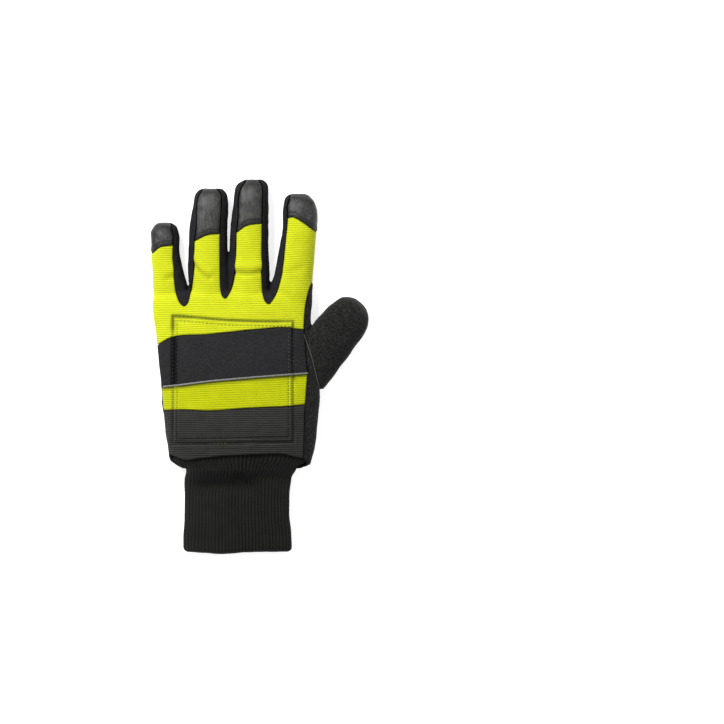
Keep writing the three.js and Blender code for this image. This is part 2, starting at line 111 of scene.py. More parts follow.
LITTLE_SECTIONS = [
    (-0.45, 0.08, 1.2, 0.8),
    (0, -0.008, 1.21, 0.97),
    (0.19, -0.063, 1.107, 1.0),
    (0.38, -0.134, 1.036, 1.0),
    (0.57, -0.179, 0.98, 1.0),
    (0.76, -0.187, 1.0, 0.96),
    (0.86, -0.2, 0.96, 0.86),
    (0.95, -0.19, 0.79, 0.64),
    (1.0, -0.21, 0.45, 0.34),
]

RING_SECTIONS = [
    (-0.3, 0, 0.95, 0.85),
    (0, 0.035, 1.035, 1.0),
    (0.12, 0.012, 1.06, 1.0),
    (0.37, -0.005, 1.0, 1.0),
    (0.62, 0.008, 0.974, 0.98),
    (0.8, 0.06, 0.92, 0.95),
    (0.925, 0.074, 0.84, 0.76),
    (0.98, 0.08, 0.66, 0.52),
    (1.0, 0.09, 0.48, 0.34),
]

MIDDLE_SECTIONS = [
    (-0.27, 0, 0.95, 0.85),
    (0, -0.002, 1.035, 1.0),
    (0.12, 0.004, 1.04, 1.0),
    (0.34, -0.005, 1.0, 1.0),
    (0.565, 0.008, 0.974, 0.98),
    (0.79, 0.047, 0.895, 0.95),
    (0.9, 0.06, 0.868, 0.82),
    (0.96, 0.087, 0.763, 0.6),
    (1.0, 0.126, 0.47, 0.34),
]

INDEX_SECTIONS = [
    (-0.32, 0.05, 1.0, 0.85),
    (0, 0.015, 1.17, 1.0),
    (0.13, 0.07, 1.08, 1.0),
    (0.39, 0.163, 1.014, 1.0),
    (0.65, 0.25, 0.957, 0.98),
    (0.78, 0.257, 0.97, 0.94),
    (0.91, 0.23, 0.857, 0.78),
    (0.975, 0.2, 0.63, 0.52),
    (1.0, 0.2, 0.38, 0.34),
]

THUMB_SECTIONS = [
    (0, 0.02, 1.08, 0.9),
    (0.25, 0.01, 1.05, 1.0),
    (0.45, 0.005, 1.025, 1.0),
    (0.7, 0.0, 0.985, 1.0),
    (0.82, 0.01, 0.905, 0.93),
    (0.9, -0.01, 0.78, 0.82),
    (0.952, -0.027, 0.57, 0.64),
    (0.98, -0.035, 0.38, 0.46),
    (1.0, -0.05, 0.14, 0.3),
]

# The cuff below the wrist hem; along is measured down from the hem.
CUFF_SECTIONS = [
    (0.22, 0.012, 0.995, 0.9),
    (0.5, 0.004, 0.975, 1.0),
    (0.95, 0.009, 1.015, 1.0),
    (1.0, 0.009, 0.975, 0.84),
]

# The palm's sections that the cuff is seated in, from the top of the cuff down
CUFF_SEAT_ROWS = [3, 2, 0]

# Seams across the back, in shares of the hand's width and of the palm's length
KNUCKLE_SEAM = [
    (-0.75, 0.55), (-0.491, 0.662), (-0.399, 0.705), (-0.178, 0.72), (0.116, 0.748), (0.291, 0.76),
    (0.423, 0.748),
]
PIPING_LINE = [
    (-0.75, 0.39), (-0.456, 0.413), (-0.353, 0.423), (-0.166, 0.445), (0.084, 0.466), (0.328, 0.484),
    (0.446, 0.492),
]
LOWER_SEAM = [
    (-0.75, 0.272), (-0.441, 0.277), (-0.353, 0.281), (-0.166, 0.275), (0.084, 0.29), (0.303, 0.299),
    (0.43, 0.311),
]
WRIST_HEM = [
    (-0.75, 0.05), (-0.416, 0.015), (-0.326, -0.014), (-0.2, -0.002), (-0.072, 0.01), (0.147, 0.019),
    (0.284, 0.021), (0.366, 0.003), (0.419, -0.003),
]

# The edge of the back on the index side, from the knuckle seam up to the root of the index finger
INDEX_SIDE_EDGE = [
    (0.425, 0.813), (0.431, 0.88), (0.443, 0.939), (0.457, 0.988), (0.472, 1.018), (0.486, 1.034),
    (0.75, 1.06),
]

# The thumb hole in plan: the seam beside the hand, then well outside the glove
THUMB_SEAM = [
    (0.56, 0.34), (0.522, 0.404), (0.494, 0.495), (0.466, 0.6), (0.441, 0.668), (0.422, 0.738),
    (0.459, 0.762), (0.534, 0.92), (0.584, 1.037),
]
THUMB_OUTSIDE = [(1.1, 1.037), (1.1, 0.3)]

# Where the pad lies under the back
PAD_TOP = [(-0.397, 0.828), (-0.3, 0.823), (-0.072, 0.805), (0.15, 0.797), (0.354, 0.797)]
PAD_BOTTOM = [(0.354, 0.092), (0.1, 0.088), (-0.2, 0.082), (-0.397, 0.082)]
PAD_LINE_SPACING = 3.6 * MM

# Each finger: where its root is across the hand, its reach, width and thickness, and the edges of the
# back panel and the cap on it, in shares of its width and reach from the root upwards
FINGERS = {
    "little": {
        "root": -0.414,
        "reach": 47.6 * MM,
        "width": 21 * MM,
        "thickness": 17.5 * MM,
        "sections": LITTLE_SECTIONS,
        "panel_left": [],
        "panel_right": [(0.347, -0.249), (0.242, -0.133), (0.176, 0.018), (0.13, 0.305), (0.1, 0.45)],
        "cap_line": [(-0.95, 0.5), (-0.65, 0.532), (-0.366, 0.619), (0.116, 0.65)],
        "cap_left": [(-0.95, 1.15)],
        "cap_right": [(0.12, 0.8), (0.07, 0.92), (-0.02, 1.04), (-0.1, 1.15)],
    },
    "ring": {
        "root": -0.177,
        "reach": 73.2 * MM,
        "width": 28.5 * MM,
        "thickness": FINGER_THICKNESS,
        "sections": RING_SECTIONS,
        "panel_left": [(-0.534, -0.162), (-0.486, -0.087), (-0.439, 0.012), (-0.392, 0.137), (-0.38, 0.25)],
        "panel_right": [(0.374, -0.087), (0.337, -0.025), (0.325, 0.075), (0.315, 0.3)],
        "cap_line": [(-0.374, 0.464), (-0.03, 0.526), (0.321, 0.541)],
        "cap_left": [(-0.32, 0.6), (-0.31, 0.83), (-0.26, 0.93), (-0.17, 0.985), (-0.06, 1.06)],
        "cap_right": [(0.34, 0.7), (0.36, 0.9), (0.33, 0.96), (0.23, 1.0), (0.14, 1.06)],
    },
    "middle": {
        "root": 0.079,
        "reach": 80 * MM,
        "width": 28.5 * MM,
        "thickness": FINGER_THICKNESS,
        "sections": MIDDLE_SECTIONS,
        "panel_left": [(-0.543, -0.074), (-0.464, -0.001), (-0.401, 0.102), (-0.374, 0.2)],
        "panel_right": [(0.43, -0.137), (0.375, -0.079), (0.344, 0.011), (0.34, 0.125), (0.342, 0.35)],
        "cap_line": [(-0.347, 0.504), (-0.058, 0.57), (0.35, 0.59)],
        "cap_left": [(-0.3, 0.65), (-0.295, 0.81), (-0.23, 0.92), (-0.12, 0.985), (0.0, 1.06)],
        "cap_right": [(0.363, 0.81), (0.36, 0.92), (0.32, 0.97), (0.24, 1.005), (0.16, 1.06)],
    },
    "index": {
        "root": 0.341,
        "reach": 69.4 * MM,
        "width": 26.2 * MM,
        "thickness": FINGER_THICKNESS,
        "sections": INDEX_SECTIONS,
        "panel_left": [(-0.543, -0.151), (-0.455, -0.092), (-0.352, 0.012), (-0.265, 0.16), (-0.143, 0.587)],
        "panel_right": [],
        "cap_line": [(-0.114, 0.738), (0.057, 0.749), (0.706, 0.598), (1.05, 0.52)],
        "cap_left": [(-0.13, 0.857), (-0.057, 0.955), (0.03, 1.08)],
        "cap_right": [(1.05, 1.08)],
    },
}

# Lowest point of each strip between two fingers, on the back of the hand
WEBS = {
    ("little", "ring"): (-0.327, 0.887),
    ("ring", "middle"): (-0.071, 0.932),
    ("middle", "index"): (0.202, 0.899),
}

THUMB_BASE = (0.416, 0.492)

# Section shapes
HAND_SQUARENESS = 2.4
FINGER_SQUARENESS = 2.2
FLATTENED_SHARE = 0.06
HAND_SIDE_SEAM = 0.5 * HAND_THICKNESS
FINGER_SIDE_SEAM = 0.33 * FINGER_THICKNESS
SIDE_SEAM_SLOPE = (0.4, 0.75)

# Well outside the glove, in metres
FAR = 0.3

# The tables are measured from the middle of the wrist hem. The little finger's outermost point and the
# mouth of the cuff say where that is in the frame.
LITTLE = FINGERS["little"]
leftmost = min(
    LITTLE["root"] * HAND_WIDTH + (centre - width / 2) * LITTLE["width"]
    for _, centre, width, _ in LITTLE_SECTIONS
)
DATUM = np.array([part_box("palm")[0].x - leftmost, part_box("cuff")[0].y + CUFF_LENGTH])


# Curves and fields

def hand_points(table):
    return np.array([(a * HAND_WIDTH, b * PALM_LENGTH) for a, b in table]) + DATUM


def finger_points(finger, table):
    root = np.array([finger["root"] * HAND_WIDTH, PALM_LENGTH])
    shares = [(a * finger["width"], b * finger["reach"]) for a, b in table]
    return root + np.array(shares).reshape(-1, 2) + DATUM


def curve(points, step=1.0 * MM):
    """A smooth line through the points, with a point about every step."""
    p = np.asarray(points, float)
    if len(p) < 3:
        return p
    ends = np.vstack([2 * p[0] - p[1], p, 2 * p[-1] - p[-2]])
    line = []
    for a, b, c, d in zip(ends, ends[1:], ends[2:], ends[3:]):
        knots = np.cumsum([0] + [norm(v) ** 0.5 for v in (b - a, c - b, d - c)])
        count = max(1, round(norm(c - b) / step))
        t = np.linspace(knots[1], knots[2], count, endpoint=False)[:, None]

        def mix(u, v, i, j):
            return (u * (knots[j] - t) + v * (t - knots[i])) / (knots[j] - knots[i])

        ab, bc, cd = mix(a, b, 0, 1), mix(b, c, 1, 2), mix(c, d, 2, 3)
        line.append(mix(mix(ab, bc, 0, 2), mix(bc, cd, 1, 3), 1, 2))
    return np.vstack(line + [p[-1:]])


def monotone(table, at):
    """The table's columns at the places given, along curves that don't overshoot its rows."""
    rows = np.array(table, float)
    x, y = rows[:, 0], rows[:, 1:]
    step = np.diff(x)[:, None]
    slope = np.diff(y, axis=0) / step
    tangent = np.vstack([slope[:1], np.zeros_like(slope[1:]), slope[-1:]])
    same = slope[:-1] * slope[1:] > 0
    safe = np.where(same, slope[:-1] + slope[1:], 1)
    tangent[1:-1] = np.where(same, 2 * slope[:-1] * slope[1:] / safe, 0)
    i = np.clip(np.searchsorted(x, at, side="right") - 1, 0, len(x) - 2)
    t = ((at - x[i]) / (x[i + 1] - x[i]))[:, None]
    h = step[i]
    return (
        (1 + 2 * t) * (1 - t) ** 2 * y[i]
        + t * (1 - t) ** 2 * h * tangent[i]
        + t**2 * (3 - 2 * t) * y[i + 1]
        + t**2 * (t - 1) * h * tangent[i + 1]
    )


def smoothstep(low, high, x):
    t = np.clip((x - low) / (high - low), 0, 1)
    return t * t * (3 - 2 * t)


# How many points are measured against a line at a time
BATCH = 4000


def line_distance(points, line, closed=False):
    """How far each point is from a line in plan."""
    line = np.vstack([line, line[:1]]) if closed else line
    a, b = line[:-1], line[1:]
    span = b - a
    length = np.maximum((span**2).sum(1), 1e-16)
    best = np.full(len(points), np.inf)
    for start in range(0, len(points), BATCH):
        p = points[start : start + BATCH, None, :2]
        t = np.clip(((p - a) * span).sum(2) / length, 0, 1)
        gap = p - (a + t[..., None] * span)
        best[start : start + BATCH] = np.sqrt((gap**2).sum(2).min(1))
    return best


def running_length(line):
    """How far along the line each of its points is."""
    return np.concatenate([[0], np.cumsum(norm(np.diff(line, axis=0), axis=1))])


def points_at(line, length, at):
    """The points at the distances given along a line of the running length given."""
    return np.column_stack([np.interp(at, length, column) for column in line.T])


def even(line, step=1.0 * MM):
    """The line with points about every step."""
    length = running_length(line)
    return points_at(line, length, np.linspace(0, length[-1], max(3, round(length[-1] / step))))


def stretches(line, keep):
    """The runs of at least three neighbouring points of a line that are kept."""
    runs = np.split(np.arange(len(line)), np.flatnonzero(np.diff(keep)) + 1)
    return [line[run] for run in runs if keep[run[0]] and len(run) > 2]


def inside(points, outline):
    """Which points lie inside a closed outline in plan."""
    x, y = points[:, 0], points[:, 1]
    result = np.zeros(len(points), bool)
    for (ax, ay), (bx, by) in zip(outline, np.roll(outline, -1, axis=0)):
        if ay == by:
            continue
        crosses = ((ay > y) != (by > y)) & (x < (bx - ax) * (y - ay) / (by - ay) + ax)
        result ^= crosses
    return result


def waves(points, size, seed, count=14):
    """Smooth, repeatable unevenness from about -1 to 1, with bumps of about the size given."""
    rng = np.random.default_rng(seed)
    direction = rng.normal(size=(count, 3))
    direction /= norm(direction, axis=1)[:, None]
    rate = 2 * math.pi / size * rng.uniform(0.6, 1.5, count)
    phase = rng.uniform(0, 2 * math.pi, count)
    return np.sin(points @ (direction * rate[:, None]).T + phase).sum(1) * math.sqrt(2 / count) / 2


SLOPE_START, SLOPE_END = (DATUM[1] + share * PALM_LENGTH for share in SIDE_SEAM_SLOPE)


def side_seam_height(y):
    """Height of the seam between the back and the palm side, which slopes down towards the fingers."""
    return np.interp(y, [SLOPE_START, SLOPE_END], [HAND_SIDE_SEAM, FINGER_SIDE_SEAM])


# Meshes

def mesh_object(name, verts, faces):
    mesh = bpy.data.meshes.new(name)
    mesh.from_pydata([tuple(v) for v in verts], [], [tuple(f) for f in faces])
    mesh.polygons.foreach_set("use_smooth", [True] * len(mesh.polygons))
    mesh.update()
    obj = bpy.data.objects.new(name, mesh)
    bpy.context.scene.collection.objects.link(obj)
    return obj


def tidy_away(*objects):
    for obj in objects:
        mesh = obj.data
        bpy.data.objects.remove(obj)
        bpy.data.meshes.remove(mesh)


def with_modifiers(obj):
    """The object's mesh with its modifiers applied."""
    graph = bpy.context.evaluated_depsgraph_get()
    mesh = bpy.data.meshes.new_from_object(obj.evaluated_get(graph))
    obj.modifiers.clear()
    old = obj.data
    obj.data = mesh
    bpy.data.meshes.remove(old)
    return obj


def copied(obj, name):
    twin = bpy.data.objects.new(name, obj.data.copy())
    bpy.context.scene.collection.objects.link(twin)
    return twin


def coordinates(mesh):
    flat = np.empty(len(mesh.vertices) * 3)
    mesh.vertices.foreach_get("co", flat)
    return flat.reshape(-1, 3)


def set_coordinates(mesh, points):
    mesh.vertices.foreach_set("co", points.astype(np.float32).ravel())
    mesh.update()


def store(mesh, name, values):
    """Keeps a value for each vertex, for the finish to read."""
    mesh.attributes.new(name, "FLOAT", "POINT").data.foreach_set("value", values.astype(np.float32))


def ring_of(centre, side, width, height, squareness, columns, rest):
    """A superellipse ring, flattened where it would reach below rest."""
    angle = np.linspace(0, 2 * math.pi, columns, endpoint=False)
    power = 2 / squareness
    across = -np.sign(np.cos(angle)) * np.abs(np.cos(angle)) ** power * width / 2
    up = np.sign(np.sin(angle)) * np.abs(np.sin(angle)) ** power * height / 2
    ring = np.empty((columns, 3))
    ring[:, :2] = centre[:2] + across[:, None] * side
    ring[:, 2] = np.maximum(rest, centre[2] + up)
    return ring


def loft_faces(rows, columns, first=0):
    i, j = np.meshgrid(np.arange(rows - 1), np.arange(columns), indexing="ij")
    a = first + i * columns + j
    b = first + i * columns + (j + 1) % columns
    return np.stack([a, b, b + columns, a + columns], axis=-1).reshape(-1, 4).tolist()


def closed_loft(rings):
    """Vertices and faces of a closed skin through rings, whose ends are fans about their middles."""
    rows, columns = len(rings), len(rings[0])
    verts = np.vstack(list(rings) + [rings[0].mean(0), rings[-1].mean(0)])
    faces = loft_faces(rows, columns)
    near, far, last = rows * columns, rows * columns + 1, (rows - 1) * columns
    for j in range(columns):
        k = (j + 1) % columns
        faces += [(near, k, j), (far, last + j, last + k)]
    return verts, faces


def middle_height(thickness, high):
    """Height of a section's middle, so that it lies on the floor with its underside flattened."""
    return thickness * (0.5 - FLATTENED_SHARE) * (0.5 + 0.5 * high)


def tube_rings(base, forward, size, sections, squareness, grow, columns=64):
    """Rings of a tube from base along forward, grown all round. Its size is reach, width, thickness."""
    reach, width, thickness = size
    side = np.array([forward[1], -forward[0]])
    table = np.array(sections, float)
    count = max(8, round((table[-1, 0] - table[0, 0]) * reach / RING_STEP))
    at = np.unique(np.concatenate([table[:, 0], np.linspace(table[0, 0], table[-1, 0], count)]))
    rings = []
    for along, (centre, wide, high) in zip(at, monotone(sections, at)):
        end = grow if along > 0 else 0
        middle = base + forward * along * (reach + end) + side * centre * width
        place = np.append(middle, middle_height(thickness, high))
        across, up = wide * width + 2 * grow, high * thickness + 2 * grow
        rings.append(ring_of(place, side, across, up, squareness, columns, max(0.0, -grow)))
    return rings


NORTH = np.array([0.0, 1.0])
EAST = np.array([1.0, 0.0])


def hand_form(name, grow, voxel, smoothing):
    """The whole hand grown by a distance, as one smooth closed mesh."""
    palm_sections = list(PALM_SECTIONS)
    if grow < 0:
        # The hollow runs on below the hand, so that the wrist is open
        palm_sections.insert(0, (PALM_SECTIONS[0][0] - 0.1,) + PALM_SECTIONS[0][1:])
    size = (PALM_LENGTH, HAND_WIDTH, HAND_THICKNESS)
    tubes = [tube_rings(DATUM, NORTH, size, palm_sections, HAND_SQUARENESS, grow, PALM_COLUMNS)]
    for finger in FINGERS.values():
        base = hand_points([(finger["root"], 1)])[0]
        size = (finger["reach"], finger["width"], finger["thickness"])
        tubes.append(tube_rings(base, NORTH, size, finger["sections"], FINGER_SQUARENESS, grow))
    base = hand_points([THUMB_BASE])[0]
    lean = np.array([math.sin(THUMB_LEAN), math.cos(THUMB_LEAN)])
    size = (THUMB_REACH, THUMB_WIDTH, THUMB_THICKNESS)
    tubes.append(tube_rings(base, lean, size, THUMB_SECTIONS, FINGER_SQUARENESS, grow))
    verts, faces = [], []
    for rings in tubes:
        v, f = closed_loft(rings)
        first = sum(len(x) for x in verts)
        verts.append(v)
        faces += [tuple(first + i for i in face) for face in f]
    form = mesh_object(name, np.vstack(verts), faces)
    remesh = form.modifiers.new("one_skin", "REMESH")
    remesh.mode = "VOXEL"
    remesh.voxel_size = voxel
    smooth = form.modifiers.new("blended", "SMOOTH")
    smooth.factor = 0.5
    smooth.iterations = smoothing
    return with_modifiers(form)


# Marks of a face: it belongs to the outer skin, to a cut or to the hollow
OUTER, CUT, HOLLOW = 0, 1, 2


def marked(obj, mark):
    mesh = obj.data
    mesh.materials.clear()
    for _ in (OUTER, CUT, HOLLOW):
        mesh.materials.append(None)
    mesh.polygons.foreach_set("material_index", [mark] * len(mesh.polygons))
    return obj


def turn_of(outline):
    """1 where a closed outline runs anticlockwise, -1 where it runs clockwise."""
    x, y = outline.T
    return np.sign((x * np.roll(y, -1) - np.roll(x, -1) * y).sum())


def grown(points, distance):
    """A closed outline moved outwards by a distance, inwards if negative."""
    p = np.asarray(points)
    p = p[norm(p - np.roll(p, 1, axis=0), axis=1) > 1e-6]
    turn = turn_of(p)
    before = p - np.roll(p, 1, axis=0)
    before /= norm(before, axis=1)[:, None]
    after = np.roll(before, -1, axis=0)
    normal = np.stack([(before + after)[:, 1], -(before + after)[:, 0]], axis=1) * turn
    normal /= np.maximum(norm(normal, axis=1)[:, None], 1e-9)
    edge = np.stack([before[:, 1], -before[:, 0]], axis=1) * turn
    spread = np.maximum(0.5, (normal * edge).sum(1))
    return p + normal * (distance / spread)[:, None]


def combined(obj, other, operation):
    modifier = obj.modifiers.new("combined", "BOOLEAN")
    modifier.operation = operation
    modifier.solver = "MANIFOLD"
    modifier.object = other
    return with_modifiers(obj)


def bar(low, high):
    """A closed bar between two rings of the same number of points."""
    count = len(low)
    faces = [tuple(range(count))[::-1], tuple(range(count, 2 * count))]
    faces += [(i, (i + 1) % count, count + (i + 1) % count, count + i) for i in range(count)]
    return marked(mesh_object("bar", np.vstack([low, high]), faces), CUT)


def above_side_seam(lift):
    """Everything over the side seam moved up by lift."""
    y = np.array([-2 * FAR, SLOPE_START, SLOPE_END, 2 * FAR])
    y, z = np.append(y, [2 * FAR, -2 * FAR]), np.append(side_seam_height(y) + lift, [2 * FAR, 2 * FAR])
    return bar(*(np.column_stack([np.full(len(y), x), y, z]) for x in (-2 * FAR, 2 * FAR)))


def prism(outline, lift=None):
    """A tall prism on a plan outline, cut off at the side seam moved up by lift if that is given."""
    p = np.asarray(outline)
    if turn_of(p) < 0:
        p = p[::-1]
    solid = bar(*(np.column_stack([p, np.full(len(p), z)]) for z in (-FAR, FAR)))
    if lift is not None:
        upper = above_side_seam(lift)
        combined(solid, upper, "INTERSECT")
        tidy_away(upper)
    return solid


def skin_marks(mesh):
    marks = np.empty(len(mesh.polygons), np.int32)
    mesh.polygons.foreach_get("material_index", marks)
    return marks


def outer_normals(mesh):
    """Which vertices are on the outer skin, and that skin's normals at them."""
    mesh.calc_loop_triangles()
    count = len(mesh.loop_triangles)
    corners = np.empty(count * 3, np.int32)
    mesh.loop_triangles.foreach_get("vertices", corners)
    corners = corners.reshape(-1, 3)
    owner = np.empty(count, np.int32)
    mesh.loop_triangles.foreach_get("polygon_index", owner)
    corners = corners[skin_marks(mesh)[owner] == OUTER]
    points = coordinates(mesh)
    a, b, c = (points[corners[:, i]] for i in range(3))
    area = np.cross(b - a, c - a)
    normals = np.zeros_like(points)
    for i in range(3):
        np.add.at(normals, corners[:, i], area)
    length = norm(normals, axis=1)
    outer = length > 0
    normals[outer] /= length[outer, None]
    return outer, normals


# Outlines of the panels of the back

KNUCKLE = curve(hand_points(KNUCKLE_SEAM))
PIPING = curve(hand_points(PIPING_LINE))
LOWER = curve(hand_points(LOWER_SEAM))
HEM = curve(hand_points(WRIST_HEM))
INDEX_SIDE = curve(hand_points(INDEX_SIDE_EDGE))
THUMB_EDGE = curve(hand_points(THUMB_SEAM))
THUMB_HOLE = np.vstack([THUMB_EDGE, hand_points(THUMB_OUTSIDE)])
PAD_OUTLINE = np.vstack([curve(hand_points(PAD_TOP)), curve(hand_points(PAD_BOTTOM))])


def back_outline():
    """Round the yellow back, from the knuckle seam up and over each finger from the index finger on."""
    parts = [KNUCKLE, INDEX_SIDE]
    names = list(FINGERS)[::-1]
    for name, lower in zip(names, names[1:] + [None]):
        finger = FINGERS[name]
        parts.append(curve(finger_points(finger, finger["cap_line"]))[::-1])
        if lower is None:
            break
        web = hand_points([WEBS[(lower, name)]])
        left = finger_points(finger, finger["panel_left"])[::-1]
        right = finger_points(FINGERS[lower], FINGERS[lower]["panel_right"])
        parts.append(curve(np.vstack([left, web, right])))
    return np.vstack(parts)


def cap_outline(finger):
    line = curve(finger_points(finger, finger["cap_line"]))
    right = curve(finger_points(finger, finger["cap_right"]))
    left = curve(finger_points(finger, finger["cap_left"]))
    return np.vstack([line, right, left[::-1]])


def web_outline(finger, following, web):
    """The zone between the middle lines of two neighbouring fingers, down to their web."""
    middle_line = [(0.05, 1.2), (0, -0.05)]
    bottom = hand_points([(web[0], web[1] - 0.03)])
    left, right = finger_points(finger, middle_line), finger_points(following, middle_line)
    return np.vstack([left, bottom, right[::-1]])


PANELS = {
    "back_panel": back_outline(),
    "knuckle_band": np.vstack([KNUCKLE, PIPING[::-1]]),
    "lower_band": np.vstack([PIPING, LOWER[::-1]]),
    "wrist_panel": np.vstack([LOWER, HEM[::-1]]),
    **{f"cap_{name}": cap_outline(finger) for name, finger in FINGERS.items()},
}

# Everything that the palm side leaves open: the back, and the cuff under the wrist hem
BELOW_HEM = 2 * PALM_SECTIONS[0][0]
BACK_REGION = np.vstack(
    [
        hand_points([(-0.75, BELOW_HEM), (0.5, BELOW_HEM), WRIST_HEM[-1]]),
        LOWER[-1:],
        PIPING[-1:],
        KNUCKLE[-1:],
        INDEX_SIDE,
        hand_points([(0.75, 2), (-0.75, 2)]),
    ]
)


# Relief of the skins. Each relief gives the height of the skin over the smooth form, and the fields
# that its finish reads: seam, painted shade that is 1 in the seam grooves and also darkens stitch grooves,
# folds and other hollows, and rib, which is 1 on top of a rib.

def rolled_edge(distance, depth, reach):
    """The skin rolls down into a seam, like a quarter of a circle."""
    t = np.clip(1 - distance / reach, 0, 1)
    return -depth * (1 - np.sqrt(1 - t * t))


def groove(distance, width):
    return np.exp(-((distance / width) ** 2))


def seam_distance(points, outline):
    side = points[:, 2] - side_seam_height(points[:, 1])
    return np.minimum(line_distance(points, outline, closed=True), np.abs(side))


# From where to where the pad's left, right, lower and upper parts set in, measured from the datum
PAD_LEFT = (-30 * MM, -40 * MM)
PAD_RIGHT = (30 * MM, 38 * MM)
PAD_LOW = (22 * MM, 14 * MM)
PAD_HIGH = (92 * MM, 99 * MM)


def pad_relief(points, trough_share=1.0):
    """The pad lifts the back, with two rows of stitching round its edge, and shade painted along the crease
    over its top.

    The second value is how deep in the stitching a point is, the third how much painted shade the trough
    along its left edge and the crease over its top get.
    """
    depth = line_distance(points, PAD_OUTLINE, closed=True)
    depth[~inside(points, PAD_OUTLINE)] *= -1
    up = points[:, 2] > HAND_SIDE_SEAM
    across, along = (points[:, :2] - DATUM).T
    left, right = smoothstep(*PAD_LEFT, across), smoothstep(*PAD_RIGHT, across)
    low, high = smoothstep(*PAD_LOW, along), smoothstep(*PAD_HIGH, along)

    # The outer row of stitches, and the inner one
    sunk = (1 - 0.55 * np.maximum(right, low)) * groove(depth, 1.0 * MM)
    sunk += (0.5 + 0.4 * low - 0.3 * high) * groove(depth - PAD_LINE_SPACING, 0.6 * MM)

    # The cloth sinks in along the pad's left edge, swells between the rows and is gathered below the pad
    trough = trough_share * left * groove(depth - 1.2 * MM, 3.0 * MM)
    rise = PAD_RISE * (1 - 0.35 * low) * smoothstep(-0.3 * MM, 2.8 * MM, depth) * (1 - 0.8 * trough)
    swell = 0.35 * MM * (1 - left) * groove(depth - PAD_LINE_SPACING / 2, 1.1 * MM)
    ridge = 0.45 * MM * low * groove(depth + 2.6 * MM, 1.3 * MM)
    # Painted shade along the crease over the pad's top edge
    fold = high * (0.4 * groove(depth, 0.75 * MM) + 0.35 * groove(depth, 2.4 * MM))
    height = rise + swell + ridge - 1.0 * MM * sunk
    return np.where(up, height, 0), np.where(up, sunk, 0), np.where(up, 0.95 * trough + fold, 0)


# Finger, the line of its fold, and how deep the fold is
CREASES = [
    ("little", [(-0.1, 0.13), (0.1, 0.16)], 0.7 * MM),
    ("ring", [(-0.38, 0.23), (-0.25, 0.17), (-0.1, 0.115), (0.03, 0.09)], 1.1 * MM),
    ("middle", [(-0.42, 0.135), (-0.05, 0.12), (0.31, 0.135)], 1.2 * MM),
    ("index", [(-0.2, 0.14), (0.3, 0.2)], 0.3 * MM),
]


def crease_relief(points):
    """The folds over the knuckles, each with a soft bulge above it, and how deep in a fold a point is."""
    height, folded = np.zeros(len(points)), np.zeros(len(points))
    for name, line, depth in CREASES:
        fold = curve(finger_points(FINGERS[name], line))
        distance = line_distance(points, fold)
        above = line_distance(points, fold + np.array([0, 5 * MM]))
        height += depth * (0.9 * groove(above, 4 * MM) - groove(distance, 2.3 * MM))
        folded += depth / MM * groove(distance, 1.9 * MM)
    return height, np.minimum(folded, 1)


def knit_ribs(points, tilt):
    """Ribs that run across the hand, each a round top between two narrow valleys."""
    wander = 0.35 * MM * waves(points, 40 * MM, 5) + 0.06 * MM * waves(points, 7 * MM, 6)
    phase = (points[:, 1] - tilt * points[:, 0] + wander) / RIB_PITCH
    return np.abs(np.cos(math.pi * phase))


def knit_relief(node, tilt, seed, stitch_shade=0.3):
    """A ribbed panel, with the pad's trough fainter than on plain cloth, and painted shadow beside the
    piping.
    """
    outline = PANELS[node]

    def relief(points):
        seam = seam_distance(points, outline)
        pad, sunk, folds = pad_relief(points, 0.25)
        rib = knit_ribs(points, tilt)
        crease, folded = crease_relief(points)
        height = rolled_edge(seam, 0.9 * MM, 1.5 * MM) + pad + crease
        height += RIB_HEIGHT * (rib - 1) * (1 - 0.5 * sunk)
        height += 0.14 * MM * waves(points, 16 * MM, seed) + 0.25 * MM * waves(points, 42 * MM, seed + 60)
        # Painted shadow under the piping; the seam field also gets painted shade in the seam grooves, the
        # stitch grooves, the pad's trough and crease and the knuckle creases
        piping_shadow = 1.1 * groove(line_distance(points, PIPING), 2.6 * MM)
        shades = [groove(seam, 0.7 * MM), stitch_shade * sunk + folds, 0.3 * folded, piping_shadow]
        return height, {"seam": np.max(shades, axis=0), "rib": rib}

    return relief


def plain_relief(outline, depth, reach, unevenness, size, seed):
    def relief(points):
        seam = seam_distance(points, outline)
        pad, sunk, folds = pad_relief(points)
        height = rolled_edge(seam, depth, reach) + pad
        height += unevenness * waves(points, size, seed)
        # The seam field: painted shade in the seam grooves, the stitch grooves, the pad's trough and the
        # crease over its top
        return height, {"seam": np.maximum(groove(seam, 0.6 * MM), 0.64 * sunk + folds)}

    return relief


# How far above a cap's lower edge its two rows of stitching are
CAP_STITCH_LINES = (1.7 * MM, 3.5 * MM)


def cap_relief(name, seed):
    """Taut leather, pressed down by the two rows of stitching above its lower edge."""
    outline = PANELS[f"cap_{name}"]
    line = curve(finger_points(FINGERS[name], FINGERS[name]["cap_line"]))
    rows = [line + np.array([0, offset]) for offset in CAP_STITCH_LINES]

    def relief(points):
        seam = seam_distance(points, outline)
        sunk = sum(groove(line_distance(points, row), 0.6 * MM) for row in rows)
        sunk = np.where(points[:, 2] > 0.5 * FINGER_THICKNESS, sunk, 0)
        # Painted shade on the cap's steep sides, low down towards the side seam
        rim = smoothstep(11 * MM, 6 * MM, points[:, 2] - side_seam_height(points[:, 1]))
        height = rolled_edge(seam, 1.0 * MM, 1.8 * MM) - 0.35 * MM * sunk
        height += 0.2 * MM * waves(points, 9 * MM, seed)
        # The seam field: painted shade in the seam grooves, softly towards the cap's edges, on its steep
        # sides and in the stitch grooves
        shades = [groove(seam, 1.2 * MM), 0.45 * groove(seam, 3 * MM), 0.95 * rim, sunk]
        return height, {"seam": np.max(shades, axis=0)}

    return relief


